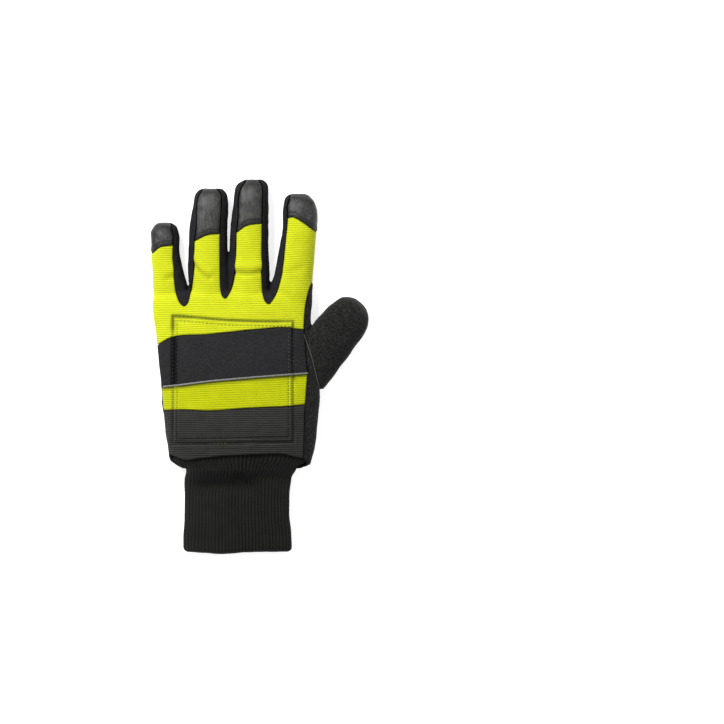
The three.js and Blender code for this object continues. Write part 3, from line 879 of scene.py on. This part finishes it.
def dressed(obj, relief):
    """The piece with its outer skin moved by the relief, and the relief's fields stored on it.

    Its cut edges and its inside get the seam field's full painted shade.
    """
    mesh = obj.data
    outer, normals = outer_normals(mesh)
    points = coordinates(mesh)
    height, fields = relief(points[outer])
    points[outer] += normals[outer] * height[:, None]
    points[:, 2] = np.maximum(points[:, 2], 0)
    set_coordinates(mesh, points)
    for name, values in fields.items():
        whole = np.full(len(points), 1.0 if name == "seam" else 0.0)
        whole[outer] = values
        store(mesh, name, whole)
    return obj


# Finishes

# How much brighter than itself a colour shows in the studio's light
LIGHT_GAIN = 1.6


def linear(red, green, blue):
    """The colour that shows as the values given, from 0 to 255."""
    return tuple(
        (c / 12.92 if c <= 0.04045 else ((c + 0.055) / 1.055) ** 2.4) / LIGHT_GAIN
        for c in (red / 255, green / 255, blue / 255)
    ) + (1.0,)


class Finish:
    """A material whose colour and bump are built up step by step."""

    def __init__(self, name, color, roughness, sheen=0.0, specular=0.5):
        self.material = bpy.data.materials.new(name)
        self.material.use_nodes = True
        self.tree = self.material.node_tree
        self.shader = self.tree.nodes["Principled BSDF"]
        self.shader.inputs["Roughness"].default_value = roughness
        self.shader.inputs["Sheen Weight"].default_value = sheen
        self.shader.inputs["Sheen Roughness"].default_value = 0.5
        self.shader.inputs["Specular IOR Level"].default_value = specular
        self.shader.inputs["Base Color"].default_value = color
        self.color = None
        self.base = color
        self.normal = None
        self.place = self.node("ShaderNodeTexCoord", {}).outputs["Object"]

    def link(self, source, target):
        self.tree.links.new(source, target)

    def node(self, kind, values, **sources):
        """A new node, with values for some of its sockets and sources for others."""
        node = self.tree.nodes.new(kind)
        for socket, value in values.items():
            node.inputs[socket].default_value = value
        for socket, source in sources.items():
            self.link(source, node.inputs[socket])
        return node

    def scaled(self, scale):
        """The place, stretched by a scale for each axis."""
        return self.node("ShaderNodeMapping", {"Scale": scale}, Vector=self.place).outputs["Vector"]

    def field(self, name):
        node = self.node("ShaderNodeAttribute", {})
        node.attribute_name = name
        return node.outputs["Fac"]

    def noise(self, size, detail=3.0, roughness=0.55, stretch=(1, 1, 1)):
        values = {"Scale": 1, "Detail": detail, "Roughness": roughness}
        place = self.scaled([1 / (size * s) for s in stretch])
        return self.node("ShaderNodeTexNoise", values, Vector=place).outputs["Fac"]

    def cells(self, size, feature="F1"):
        node = self.node("ShaderNodeTexVoronoi", {"Scale": 1}, Vector=self.scaled([1 / size] * 3))
        node.feature = feature
        return node.outputs["Distance"]

    def waves(self, size, direction, distortion=0.0):
        values = {"Scale": math.pi / 10, "Distortion": distortion}
        node = self.node("ShaderNodeTexWave", values, Vector=self.scaled([1 / size] * 3))
        node.bands_direction = direction
        return node.outputs["Fac"]

    def ramp(self, value, low, high, start=0.0, end=1.0):
        values = {"From Min": low, "From Max": high, "To Min": start, "To Max": end}
        return self.node("ShaderNodeMapRange", values, Value=value).outputs["Result"]

    def tint(self, value, color):
        """Turns the colour towards another one where the value is 1."""
        node = self.tree.nodes.new("ShaderNodeMix")
        node.data_type = "RGBA"
        self.link(value, node.inputs["Factor"])
        if self.color is None:
            node.inputs["A"].default_value = self.base
        else:
            self.link(self.color, node.inputs["A"])
        node.inputs["B"].default_value = color
        self.color = node.outputs["Result"]
        self.link(self.color, self.shader.inputs["Base Color"])

    def patches(self, noise, share, color, low=0.35, high=0.7):
        """Tints the colour by a share where the noise is high."""
        self.tint(self.ramp(noise, low, high, 0, share), color)

    # Painted shade: tints the colour by a share where the seam field is high
    def paint_shade(self, share, color):
        self.tint(self.ramp(self.field("seam"), 0.1, 1, 0, share), color)

    def bump(self, value, height, strength=1.0):
        node = self.node("ShaderNodeBump", {"Distance": height, "Strength": strength}, Height=value)
        if self.normal is not None:
            self.link(self.normal, node.inputs["Normal"])
        self.normal = node.outputs["Normal"]
        self.link(self.normal, self.shader.inputs["Normal"])


def knitted(f, valley_shade_share, valley_shade_color, seam_shade_color):
    """Painted shade in the valleys between the ribs and where the seam field is high, and the fine threads
    of a knit.
    """
    f.tint(f.ramp(f.field("rib"), 0.1, 1, valley_shade_share, 0), valley_shade_color)
    f.paint_shade(0.85, seam_shade_color)
    f.bump(f.waves(0.9 * MM, "X", distortion=1.5), 0.05 * MM, 0.6)
    f.bump(f.noise(0.5 * MM, 2), 0.06 * MM, 0.6)
    return f.material


def hi_vis_knit(name="hi_vis_knit", shade=1.0, blue=38):
    f = Finish(name, linear(shade * 242, shade * 250, blue), 0.75, sheen=0.05, specular=0.1)
    f.patches(f.noise(9 * MM), 0.4, linear(shade * 220, shade * 229, 0.5 * blue))
    # Painted shade: olive in the rib valleys, dark olive where the seam field is high
    return knitted(f, 0.8, linear(shade * 160, shade * 170, 0), linear(84, 90, 2))


def grey_knit():
    f = Finish("grey_knit", linear(72, 72, 69), 0.85, sheen=0.06, specular=0.06)
    f.patches(f.noise(7 * MM), 0.5, linear(58, 58, 57))
    # Painted shade: near black in the rib valleys and where the seam field is high
    return knitted(f, 0.95, linear(16, 16, 16), linear(8, 8, 8))


def black_band():
    f = Finish("black_band", linear(43, 43, 45), 0.65, specular=0.02)
    f.patches(f.noise(12 * MM), 0.6, linear(37, 37, 39))
    f.patches(f.noise(1.2 * MM, 3, 0.7), 0.6, linear(62, 62, 63), 0.4, 0.65)
    # Painted shade where the seam field is high
    f.paint_shade(0.85, linear(8, 8, 9))
    f.bump(f.noise(0.4 * MM, 3), 0.05 * MM, 0.7)
    return f.material


def grey_leather():
    f = Finish("grey_leather", linear(58, 58, 58), 0.42, specular=0.3)
    f.patches(f.noise(8 * MM), 0.8, linear(38, 38, 38), 0.4, 0.6)
    f.patches(f.noise(1.3 * MM, 2, stretch=(0.3, 4, 1)), 0.7, linear(102, 102, 99), 0.45, 0.65)
    f.patches(f.noise(1.3 * MM, 2, stretch=(4, 0.3, 1)), 0.6, linear(96, 96, 93), 0.5, 0.7)
    f.tint(f.ramp(f.cells(0.9 * MM, "DISTANCE_TO_EDGE"), 0.0, 0.16, 0.6, 0), linear(34, 34, 35))
    # Painted shade, near black, where the seam field is high
    f.tint(f.ramp(f.field("seam"), 0.05, 0.9, 0, 0.95), linear(10, 10, 10))
    f.bump(f.ramp(f.cells(0.9 * MM, "DISTANCE_TO_EDGE"), 0.0, 0.22), 0.08 * MM, 0.8)
    f.bump(f.noise(2.2 * MM, 4), 0.12 * MM, 0.6)
    return f.material


def black_suede():
    f = Finish("black_suede", linear(42, 42, 41), 0.95, sheen=0.12, specular=0.04)
    f.patches(f.noise(1.5 * MM, 4, 0.7), 0.9, linear(17, 17, 17), 0.4, 0.58)
    f.patches(f.noise(0.9 * MM, 3), 0.8, linear(78, 78, 75), 0.54, 0.7)
    # Painted shade where the seam field is high
    f.paint_shade(0.8, linear(8, 8, 8))
    f.bump(f.noise(0.8 * MM, 4, 0.7), 0.3 * MM, 0.9)
    return f.material


def black_stretch():
    f = Finish("black_stretch", linear(43, 43, 45), 0.8, specular=0.03)
    f.patches(f.noise(5 * MM), 0.7, linear(34, 34, 36))
    # Painted shade where the seam field is high
    f.paint_shade(0.8, linear(7, 7, 8))
    f.bump(f.waves(0.5 * MM, "X"), 0.04 * MM, 0.7)
    f.bump(f.waves(0.6 * MM, "Y"), 0.04 * MM, 0.7)
    return f.material


def cuff_knit():
    f = Finish("cuff_knit", linear(39, 39, 37), 0.9, sheen=0.08, specular=0.05)
    f.patches(f.noise(6 * MM), 0.5, linear(29, 29, 28))
    # Painted shade in the rib valleys, and in the sag below the hand that the cuff's seam field holds
    f.tint(f.ramp(f.field("rib"), 0.0, 0.9, 0.85, 0), linear(10, 10, 10))
    f.tint(f.field("seam"), linear(7, 7, 7))
    f.bump(f.waves(1.1 * MM, "Y", distortion=2.5), 0.12 * MM, 0.7)
    f.bump(f.noise(0.4 * MM, 3), 0.08 * MM, 0.6)
    return f.material


def reflective_tape():
    f = Finish("reflective_tape", linear(138, 138, 134), 0.5, specular=0.25)
    f.patches(f.noise(2 * MM), 0.6, linear(112, 112, 108))
    f.bump(f.cells(0.3 * MM), 0.02 * MM, 0.5)
    return f.material


def thread(name, color):
    f = Finish(name, linear(*color), 0.6, sheen=0.2, specular=0.3)
    f.patches(f.noise(0.6 * MM), 0.5, linear(*(0.7 * c for c in color)))
    f.bump(f.waves(0.35 * MM, "DIAGONAL"), 0.04 * MM, 0.8)
    return f.material


def protective_felt():
    f = Finish("protective_felt", linear(184, 180, 168), 0.95, sheen=0.4, specular=0.1)
    f.patches(f.noise(3 * MM, 4), 0.6, linear(160, 156, 142))
    f.bump(f.noise(0.7 * MM, 4, 0.7), 0.2 * MM, 0.9)
    return f.material


# Pieces

SLOTS = {
    "hi_vis_knit": hi_vis_knit(),
    "grey_knit": grey_knit(),
    "black_band": black_band(),
    "grey_leather": grey_leather(),
    "suede": black_suede(),
    "black_stretch": black_stretch(),
    "cuff_knit": cuff_knit(),
    "reflective_tape": reflective_tape(),
    "protective_felt": protective_felt(),
}


def placed(obj, slot, *nodes, finish=None):
    """The piece in the finish of its slot, standing for its solids."""
    mesh = obj.data
    mesh.materials.clear()
    mesh.materials.append(finish or SLOTS[slot])
    mesh.polygons.foreach_set("material_index", [0] * len(mesh.polygons))
    mesh.polygons.foreach_set("use_smooth", [True] * len(mesh.polygons))
    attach(obj, "root")
    if nodes:
        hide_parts(*nodes)
    return obj


form = marked(hand_form("form", SMOOTHING_LOSS, FORM_VOXEL, FORM_SMOOTHING), OUTER)
hollow = marked(hand_form("hollow", -WALL, HOLLOW_VOXEL, HOLLOW_SMOOTHING), HOLLOW)

# The form with finer faces, for the panels whose ribs are fine
fine_form = copied(form, "fine_form")
finer = fine_form.modifiers.new("finer", "SUBSURF")
finer.subdivision_type = "SIMPLE"
finer.levels = 1
finer.render_levels = 1
with_modifiers(fine_form)

HALF_GAP = SEAM_GAP / 2


def cut_piece(name, source, keep, without=()):
    """The part of the form inside one prism and outside others, hollow inside."""
    piece = copied(source, name)
    if keep is not None:
        combined(piece, keep, "INTERSECT")
    for other in without:
        combined(piece, other, "DIFFERENCE")
    combined(piece, hollow, "DIFFERENCE")
    return piece


def back_piece(name, node, slot, relief, source=form, finish=None):
    """A panel of the back, half a seam's gap inside its outline."""
    keep = prism(grown(PANELS[node], -HALF_GAP), HALF_GAP)
    piece = cut_piece(name, source, keep)
    tidy_away(keep)
    return placed(dressed(piece, relief), slot, node, finish=finish)


back = back_piece("back_knit", "back_panel", "hi_vis_knit", knit_relief("back_panel", 0.02, 1), fine_form)
lower_relief = knit_relief("lower_band", 0.035, 2)
deeper_knit = hi_vis_knit("deeper_knit", 0.93, 4)
lower_band = back_piece("lower_band_knit", "lower_band", "hi_vis_knit", lower_relief, fine_form, deeper_knit)
wrist_relief = knit_relief("wrist_panel", 0.0, 3, 0.65)
wrist_panel = back_piece("wrist_panel_knit", "wrist_panel", "grey_knit", wrist_relief, fine_form)
band_relief = plain_relief(PANELS["knuckle_band"], 0.8 * MM, 1.3 * MM, 0.1 * MM, 18 * MM, 4)
band = back_piece("knuckle_band_cloth", "knuckle_band", "black_band", band_relief)
caps = [
    back_piece(f"leather_cap_{name}", f"cap_{name}", "grey_leather", cap_relief(name, 10 + i))
    for i, name in enumerate(FINGERS)
]

# The strips between the fingers fill what the back and the caps leave open
panel_prisms = {
    node: prism(grown(outline, HALF_GAP), -HALF_GAP)
    for node, outline in PANELS.items()
    if node == "back_panel" or node.startswith("cap_")
}
for i, ((lower, upper), web) in enumerate(WEBS.items()):
    zone = web_outline(FINGERS[lower], FINGERS[upper], web)
    keep = prism(grown(zone, -HALF_GAP), HALF_GAP)
    others = [panel_prisms[node] for node in ("back_panel", f"cap_{lower}", f"cap_{upper}")]
    strip = cut_piece(f"stretch_strip_{lower}_{upper}", form, keep, others)
    tidy_away(keep)
    strip_relief = plain_relief(zone, 0.5 * MM, 1.0 * MM, 0.12 * MM, 8 * MM, 20 + i)
    placed(dressed(strip, strip_relief), "black_stretch", f"fourchette_{lower}_{upper}")

back_cut = prism(grown(BACK_REGION, HALF_GAP), -HALF_GAP)
thumb_cut = prism(grown(THUMB_HOLE, THUMB_SEAM_GAP / 2))
thumb_keep = prism(grown(THUMB_HOLE, -THUMB_SEAM_GAP / 2))


def suede_relief(seed, around_back):
    """Uneven suede, rolled down into the thumb's seam and, on the palm, into the edges of the back."""

    def relief(points):
        seam = line_distance(points, THUMB_EDGE)
        if around_back:
            below = np.abs(points[:, 2] - side_seam_height(points[:, 1]))
            beside = line_distance(points, BACK_REGION, closed=True)
            seam = np.minimum(seam, np.where(inside(points, BACK_REGION), below, beside))
        lifted = smoothstep(0.2 * MM, 2 * MM, points[:, 2])
        uneven = 0.3 * MM * waves(points, 15 * MM, seed) + 0.08 * MM * waves(points, 3 * MM, seed + 1)
        height = rolled_edge(seam, 0.7 * MM, 1.5 * MM) + lifted * uneven
        # The seam field: painted shade along the seam lines
        return height, {"seam": groove(seam, 0.7 * MM)}

    return relief


palm = cut_piece("suede_palm", form, None, [back_cut, thumb_cut])
placed(dressed(palm, suede_relief(30, True)), "suede", "palm")
thumb = cut_piece("suede_thumb", form, thumb_keep)
placed(dressed(thumb, suede_relief(40, False)), "suede", "thumb")
tidy_away(back_cut, thumb_cut, thumb_keep, *panel_prisms.values())


# How far the pad lies under the panels, and inside its outer row of stitches
PAD_CLEARANCE = 0.3 * MM
PAD_INSET = 1.5 * MM


def make_pad():
    """The protection pad: a slab of felt that lies close under the panels of the back."""
    pad = copied(hollow, "felt_pad")
    pad.data.transform(Matrix.Translation((0, 0, -PAD_CLEARANCE)))
    under = copied(hollow, "under_pad")
    under.data.transform(Matrix.Translation((0, 0, -PAD_THICKNESS)))
    keep = prism(grown(PAD_OUTLINE, -PAD_INSET), 1 * MM)
    combined(pad, keep, "INTERSECT")
    combined(pad, under, "DIFFERENCE")
    tidy_away(keep, under)
    return placed(pad, "protective_felt", "protection_pad")


make_pad()


# Cuff

# Points round each rib, the gap to the wrist that the cuff is seated in, and the depth of the mouth's rim
RIB_POINTS = 6
CUFF_COLUMNS = CUFF_RIBS * RIB_POINTS
SEAT_INSET = WALL + 0.3 * MM
RIM_DEPTH = 1.2 * MM

# Below the hand the cuff's upper side sags: how far down its middle is, how far it reaches up and down
# from there, how deep it is, and from where to where it fades out to the left and to the right
SAG_DOWN = 18 * MM
SAG_REACH = 4.5 * MM
SAG_DEPTH = 2.2 * MM
SAG_LEFT = (-38 * MM, -26 * MM)
SAG_RIGHT = (26 * MM, 8 * MM)

# The mouth hangs lowest left of its middle: how much of the cuff hangs with it, where, how wide and how far
HANG_HEIGHT = 16 * MM
HANG_ACROSS = -12 * MM
HANG_WIDTH = 16 * MM
HANG_DEPTH = 1.6 * MM


def evenly_spaced(ring):
    """The ring's points moved along it until they are evenly spaced."""
    closed = np.vstack([ring, ring[:1]])
    length = running_length(closed)
    return points_at(closed, length, np.linspace(0, length[-1], len(ring), endpoint=False))


def cuff_row(section, length, width, thickness, inset):
    """A section's distance below the hem, centre, width, height, middle height and rest, in metres."""
    along, centre, wide, high = section
    across, up = wide * width - 2 * inset, high * thickness - 2 * inset
    return along * length, centre * width, across, up, middle_height(thickness, high), inset


def cuff_rings(inset, at):
    """Rings of the cuff at distances below the wrist hem, inset by a depth, without its ribs."""
    rows = [
        cuff_row(PALM_SECTIONS[row], -PALM_LENGTH, HAND_WIDTH, HAND_THICKNESS, SEAT_INSET)
        for row in CUFF_SEAT_ROWS
    ]
    rows += [cuff_row(row, CUFF_LENGTH, CUFF_WIDTH, CUFF_THICKNESS, 0.0) for row in CUFF_SECTIONS]
    rings = []
    for down, (centre, width, height, middle, rest) in zip(at, monotone(rows, at)):
        place = np.array([DATUM[0] + centre, DATUM[1] - down, middle])
        across, up = width - 2 * inset, height - 2 * inset
        ring = ring_of(place, EAST, across, up, HAND_SQUARENESS, CUFF_COLUMNS, rest + inset)
        rings.append(evenly_spaced(ring))
    return rings


def cuff_sag(points):
    """Where the upper side of the cuff sags below the hand, from 0 to 1."""
    across, along = (points[:, :2] - DATUM).T
    wide = smoothstep(*SAG_LEFT, across) * smoothstep(*SAG_RIGHT, across)
    return groove(-along - SAG_DOWN, SAG_REACH) * wide


def mouth_wave(points):
    """How far the cuff's mouth is moved along the cuff."""
    across, along = (points[:, :2] - DATUM).T
    near = smoothstep(CUFF_LENGTH - HANG_HEIGHT, CUFF_LENGTH, -along)
    hang = groove(across - HANG_ACROSS, HANG_WIDTH) - 0.6
    return -near * (HANG_DEPTH * hang + 0.15 * MM * waves(points, 9 * MM, 51))


def make_cuff():
    top = -PALM_SECTIONS[CUFF_SEAT_ROWS[0]][0] * PALM_LENGTH
    bottom = CUFF_LENGTH - RIM_DEPTH
    outer = cuff_rings(0.0, np.linspace(top, bottom, 96))
    rim = cuff_rings(CUFF_WALL * 0.5, np.array([CUFF_LENGTH]))
    inner = cuff_rings(CUFF_WALL, np.linspace(bottom, top, 40))
    phase = np.arange(CUFF_COLUMNS) / RIB_POINTS
    rib = np.abs(np.cos(math.pi * phase)) ** 0.75
    rings, ribs, shade = [], [], []
    for i, ring in enumerate(outer + rim + inner):
        outside = i < len(outer)
        middle = ring.mean(0)
        inward = middle - ring
        inward[:, 1] = 0
        inward /= norm(inward, axis=1)[:, None]
        sink = CUFF_RIB_DEPTH * (1 if outside else -0.4) * (1 - rib)
        sag = np.zeros(CUFF_COLUMNS)
        if outside:
            sag = np.where(ring[:, 2] > middle[2], cuff_sag(ring), 0)
            sink = sink + 0.25 * MM * waves(ring, 14 * MM, 50) - 0.25 * MM
            sink = sink + SAG_DEPTH * sag
        moved = ring + inward * sink[:, None]
        moved[:, 1] += mouth_wave(ring)
        moved[:, 2] = np.maximum(moved[:, 2], 0)
        rings.append(moved)
        ribs.append(rib if outside else rib * 0.7)
        # Painted shade where the upper side sags, stored below as the seam field
        shade.append(0.75 * sag)
    faces = loft_faces(len(rings), CUFF_COLUMNS)
    last = (len(rings) - 1) * CUFF_COLUMNS
    for j in range(CUFF_COLUMNS):
        k = (j + 1) % CUFF_COLUMNS
        faces.append((k, j, last + j, last + k))
    cuff = mesh_object("rib_knit_cuff", np.vstack(rings), faces)
    store(cuff.data, "rib", np.concatenate(ribs))
    store(cuff.data, "seam", np.concatenate(shade))
    return placed(cuff, "cuff_knit", "cuff")


make_cuff()


# Things that lie on the skins

def surface_of(*objects):
    """A function that gives the highest point of the skins over each place in plan."""
    trees = []
    for obj in objects:
        mesh = obj.data
        faces = [tuple(p.vertices) for p in mesh.polygons]
        trees.append(BVHTree.FromPolygons([tuple(v) for v in coordinates(mesh)], faces))

    def drop(place):
        start = Vector((place[0], place[1], FAR))
        best, best_normal = None, Vector((0, 0, 1))
        for tree in trees:
            hit, normal, _, _ = tree.ray_cast(start, Vector((0, 0, -1)))
            if hit is not None and (best is None or hit.z > best.z):
                best, best_normal = hit, normal
        return best, best_normal

    return drop


def swept(name, line, normals, half_width, half_height, sides=10):
    """A closed tube of elliptical section along a line that lies on a surface."""
    along = np.gradient(line, axis=0)
    along /= norm(along, axis=1)[:, None]
    across = np.cross(along, normals)
    across /= norm(across, axis=1)[:, None]
    up = np.cross(across, along)
    angle = np.linspace(0, 2 * math.pi, sides, endpoint=False)
    rings = [
        p + np.cos(angle)[:, None] * a * half_width + np.sin(angle)[:, None] * u * half_height
        for p, a, u in zip(line, across, up)
    ]
    return mesh_object(name, *closed_loft(rings))


def laid(drop, line, lift):
    """The line in plan laid on the skins, as points and normals."""
    points, normals = [], []
    for place in line:
        hit, normal = drop(place)
        if hit is not None:
            points.append(np.array(hit) + np.array(normal) * lift)
            normals.append(np.array(normal))
    return np.array(points), np.array(normals)


def smoothed(values, width):
    """The running mean of each column over the rows up to width away."""
    kernel = np.ones(2 * width + 1) / (2 * width + 1)
    padded = np.pad(values, ((width, width), (0, 0)), mode="edge")
    return np.column_stack([np.convolve(column, kernel, "valid") for column in padded.T])


def make_pipe(drop):
    """The piping stands up out of the seam, and rises over the pad with the cloth."""
    line = curve(hand_points(PIPING_LINE) + np.array([0, 0.2 * MM]), 0.7 * MM)
    points, normals = laid(drop, line, 0)
    pad, _, _ = pad_relief(points)
    high = points[:, 2] > side_seam_height(points[:, 1]) + 2.5 * MM
    points, normals, pad = points[high], smoothed(normals[high], 3), pad[high]
    points = smoothed(points + normals * (pad + 0.3 * MM)[:, None], 1)
    pipe = swept("reflective_pipe", points, normals, PIPING_WIDTH / 2, PIPING_WIDTH / 2)
    return placed(pipe, "reflective_tape", "reflective_piping")


drop_on_form = surface_of(form)
make_pipe(drop_on_form)

# Along a stitch, in shares of its length, with its thickness there, in shares of its radius
STITCH_PROFILE = [(-0.5, 0.25), (-0.42, 0.75), (-0.2, 1.0), (0.2, 1.0), (0.42, 0.75), (0.5, 0.25)]
STITCH_SIDES = 6
STITCH_RADIUS = 0.32 * MM

# How far the ends of a stitch sink into the cloth, in shares of its radius
STITCH_SINK = 1.4


def stitch_shape(length):
    """One stitch about the origin, along X, sunk at both ends."""
    angle = np.linspace(0, 2 * math.pi, STITCH_SIDES, endpoint=False)
    rings = []
    for along, share in STITCH_PROFILE:
        x = np.full(STITCH_SIDES, along * length)
        y = np.cos(angle) * STITCH_RADIUS * share
        z = np.sin(angle) * STITCH_RADIUS * share - STITCH_RADIUS * STITCH_SINK * (2 * abs(along)) ** 3
        rings.append(np.column_stack([x, y, z]))
    return closed_loft(rings)


def stitches(name, drop, lines, finish, slot, pitch=2.8 * MM, share=0.72):
    """Joined stitches along lines in plan, lying on the skins. Each fills a share of the pitch."""
    template, template_faces = stitch_shape(pitch * share)
    half = pitch * share / 2
    verts, faces = [], []
    for line in lines:
        points, normals = laid(drop, line, STITCH_RADIUS * 0.25)
        if len(points) < 3:
            continue
        length = running_length(points)
        for place in np.arange(pitch / 2, length[-1], pitch):
            start, end = points_at(points, length, [place - half, place + half])
            along = end - start
            along /= norm(along)
            up = normals[min(np.searchsorted(length, place), len(normals) - 1)]
            across = np.cross(up, along)
            across /= norm(across)
            basis = np.stack([along, across, np.cross(along, across)])
            first = len(verts) * len(template)
            verts.append(template @ basis + (start + end) / 2)
            faces += [tuple(first + i for i in face) for face in template_faces]
    obj = mesh_object(name, np.vstack(verts), faces)
    return placed(obj, slot, finish=finish)


yellow_thread = thread("yellow_thread", (158, 167, 6))
olive_thread = thread("olive_thread", (122, 126, 44))
black_thread = thread("black_thread", (9, 9, 9))
grey_thread = thread("grey_thread", (84, 84, 82))


def on_panels(line, *names):
    """The stretches of a line that lie on the named panels."""
    return stretches(line, np.any([inside(line, PANELS[name]) for name in names], axis=0))


drop_on_back = surface_of(back, band, lower_band, wrist_panel)
pad_lines = [grown(PAD_OUTLINE, -offset) for offset in (0.0, PAD_LINE_SPACING)]
pad_lines = [even(np.vstack([line, line[:1]])) for line in pad_lines]
on_yellow = [s for line in pad_lines for s in on_panels(line, "back_panel", "lower_band")]
on_band = [s for line in pad_lines for s in on_panels(line, "knuckle_band")]
on_band_left = [s for s in on_band if s[0][0] < DATUM[0]]
on_band_right = [s for s in on_band if s[0][0] > DATUM[0]]
on_grey = [on_panels(line, "wrist_panel") for line in pad_lines]

# Where the outer row's black thread is worn to olive, measured across from the datum
WORN = (-21 * MM, -6 * MM)
worn = []
for line in on_grey[0]:
    across = line[:, 0] - DATUM[0]
    worn += stretches(line, (across > WORN[0]) & (across < WORN[1]))

stitches("pad_stitches_yellow", drop_on_back, on_yellow, yellow_thread, "hi_vis_knit")
stitches("pad_stitches_left", drop_on_back, on_band_left, black_thread, "black_band")
stitches("pad_stitches_right", drop_on_back, on_band_right, grey_thread, "black_band", share=0.45)
stitches("pad_stitches_worn", drop_on_back, worn, olive_thread, "grey_knit", share=0.8)
stitches("pad_stitches_black", drop_on_back, on_grey[0] + on_grey[1], black_thread, "grey_knit")

cap_lines = []
for name, finger in FINGERS.items():
    line = even(curve(finger_points(finger, finger["cap_line"])), 0.5 * MM)
    for offset in CAP_STITCH_LINES:
        cap_lines += on_panels(line + np.array([0, offset]), f"cap_{name}")
stitches("cap_stitches", surface_of(*caps), cap_lines, black_thread, "grey_leather", 2.1 * MM, 0.68)

# The thread of the thumb's seam, as far up as the seam runs beside the hand
beside_hand = THUMB_EDGE[: THUMB_EDGE[:, 0].argmin()]
seam_points, seam_normals = laid(drop_on_form, even(beside_hand, 0.6 * MM), -0.25 * MM)
seam_points, seam_normals = smoothed(seam_points, 2), smoothed(seam_normals, 2)
seam_thread = swept("thumb_seam_thread", seam_points, seam_normals, 0.3 * MM, 0.3 * MM, 8)
placed(seam_thread, "suede", finish=grey_thread)

tidy_away(form, fine_form, hollow)


# Floor, light and camera

FLOOR_HALF = 2.5
FLOOR_DROP = 0.0004
FLOOR_GLOW = 0.76
WORLD_STRENGTH = 0.42

# The photograph: 724 pixels across, 0.75 mm each, with the glove left of the middle
FRAME_PIXELS = 724
PIXEL = 0.75 * MM
GLOVE_MIDDLE_PIXEL = (259.7, 366.5)
LENS = 600.0
SENSOR = 36.0


def add_floor():
    corners = [(-FLOOR_HALF, -FLOOR_HALF, 0), (FLOOR_HALF, -FLOOR_HALF, 0)]
    corners += [(FLOOR_HALF, FLOOR_HALF, 0), (-FLOOR_HALF, FLOOR_HALF, 0)]
    floor = mesh_object("floor", corners, [(0, 1, 2, 3)])
    floor.location.z = -FLOOR_DROP
    f = Finish("pale_floor", (0.64, 0.64, 0.64, 1), 0.9, specular=0.1)
    f.tint(f.ramp(f.noise(0.3), 0.3, 0.7, 0, 0.15), (0.62, 0.62, 0.62, 1))
    f.shader.inputs["Emission Color"].default_value = (1, 1, 1, 1)
    f.shader.inputs["Emission Strength"].default_value = FLOOR_GLOW
    floor.data.materials.append(f.material)


def add_area_light(name, place, size, power):
    """A round lamp that shines on the middle of the glove."""
    light = bpy.data.lights.new(name, "AREA")
    light.shape = "DISK"
    light.size = size
    light.energy = power
    obj = bpy.data.objects.new(name, light)
    obj.location = place
    obj.rotation_euler = (-Vector(place)).to_track_quat("-Z", "Y").to_euler()
    bpy.context.scene.collection.objects.link(obj)


def add_camera():
    data = bpy.data.cameras.new("camera")
    data.lens = LENS
    data.sensor_width = SENSOR
    camera = bpy.data.objects.new("camera", data)
    distance = FRAME_PIXELS * PIXEL * LENS / SENSOR
    across = (FRAME_PIXELS / 2 - GLOVE_MIDDLE_PIXEL[0]) * PIXEL
    along = (GLOVE_MIDDLE_PIXEL[1] - FRAME_PIXELS / 2) * PIXEL
    camera.location = (across, along, distance)
    data.clip_end = 2 * distance
    bpy.context.scene.collection.objects.link(camera)
    bpy.context.scene.camera = camera


def add_world():
    world = bpy.data.worlds.new("studio")
    world.use_nodes = True
    world.node_tree.nodes["Background"].inputs["Color"].default_value = (1, 1, 1, 1)
    world.node_tree.nodes["Background"].inputs["Strength"].default_value = WORLD_STRENGTH
    bpy.context.scene.world = world


add_floor()
add_world()
add_area_light("key", (-0.75, 1.0, 1.12), size=0.8, power=42)
add_area_light("fill", (1.1, -0.5, 1.4), size=1.4, power=5)
add_camera()
bpy.context.scene.view_settings.view_transform = "Standard"
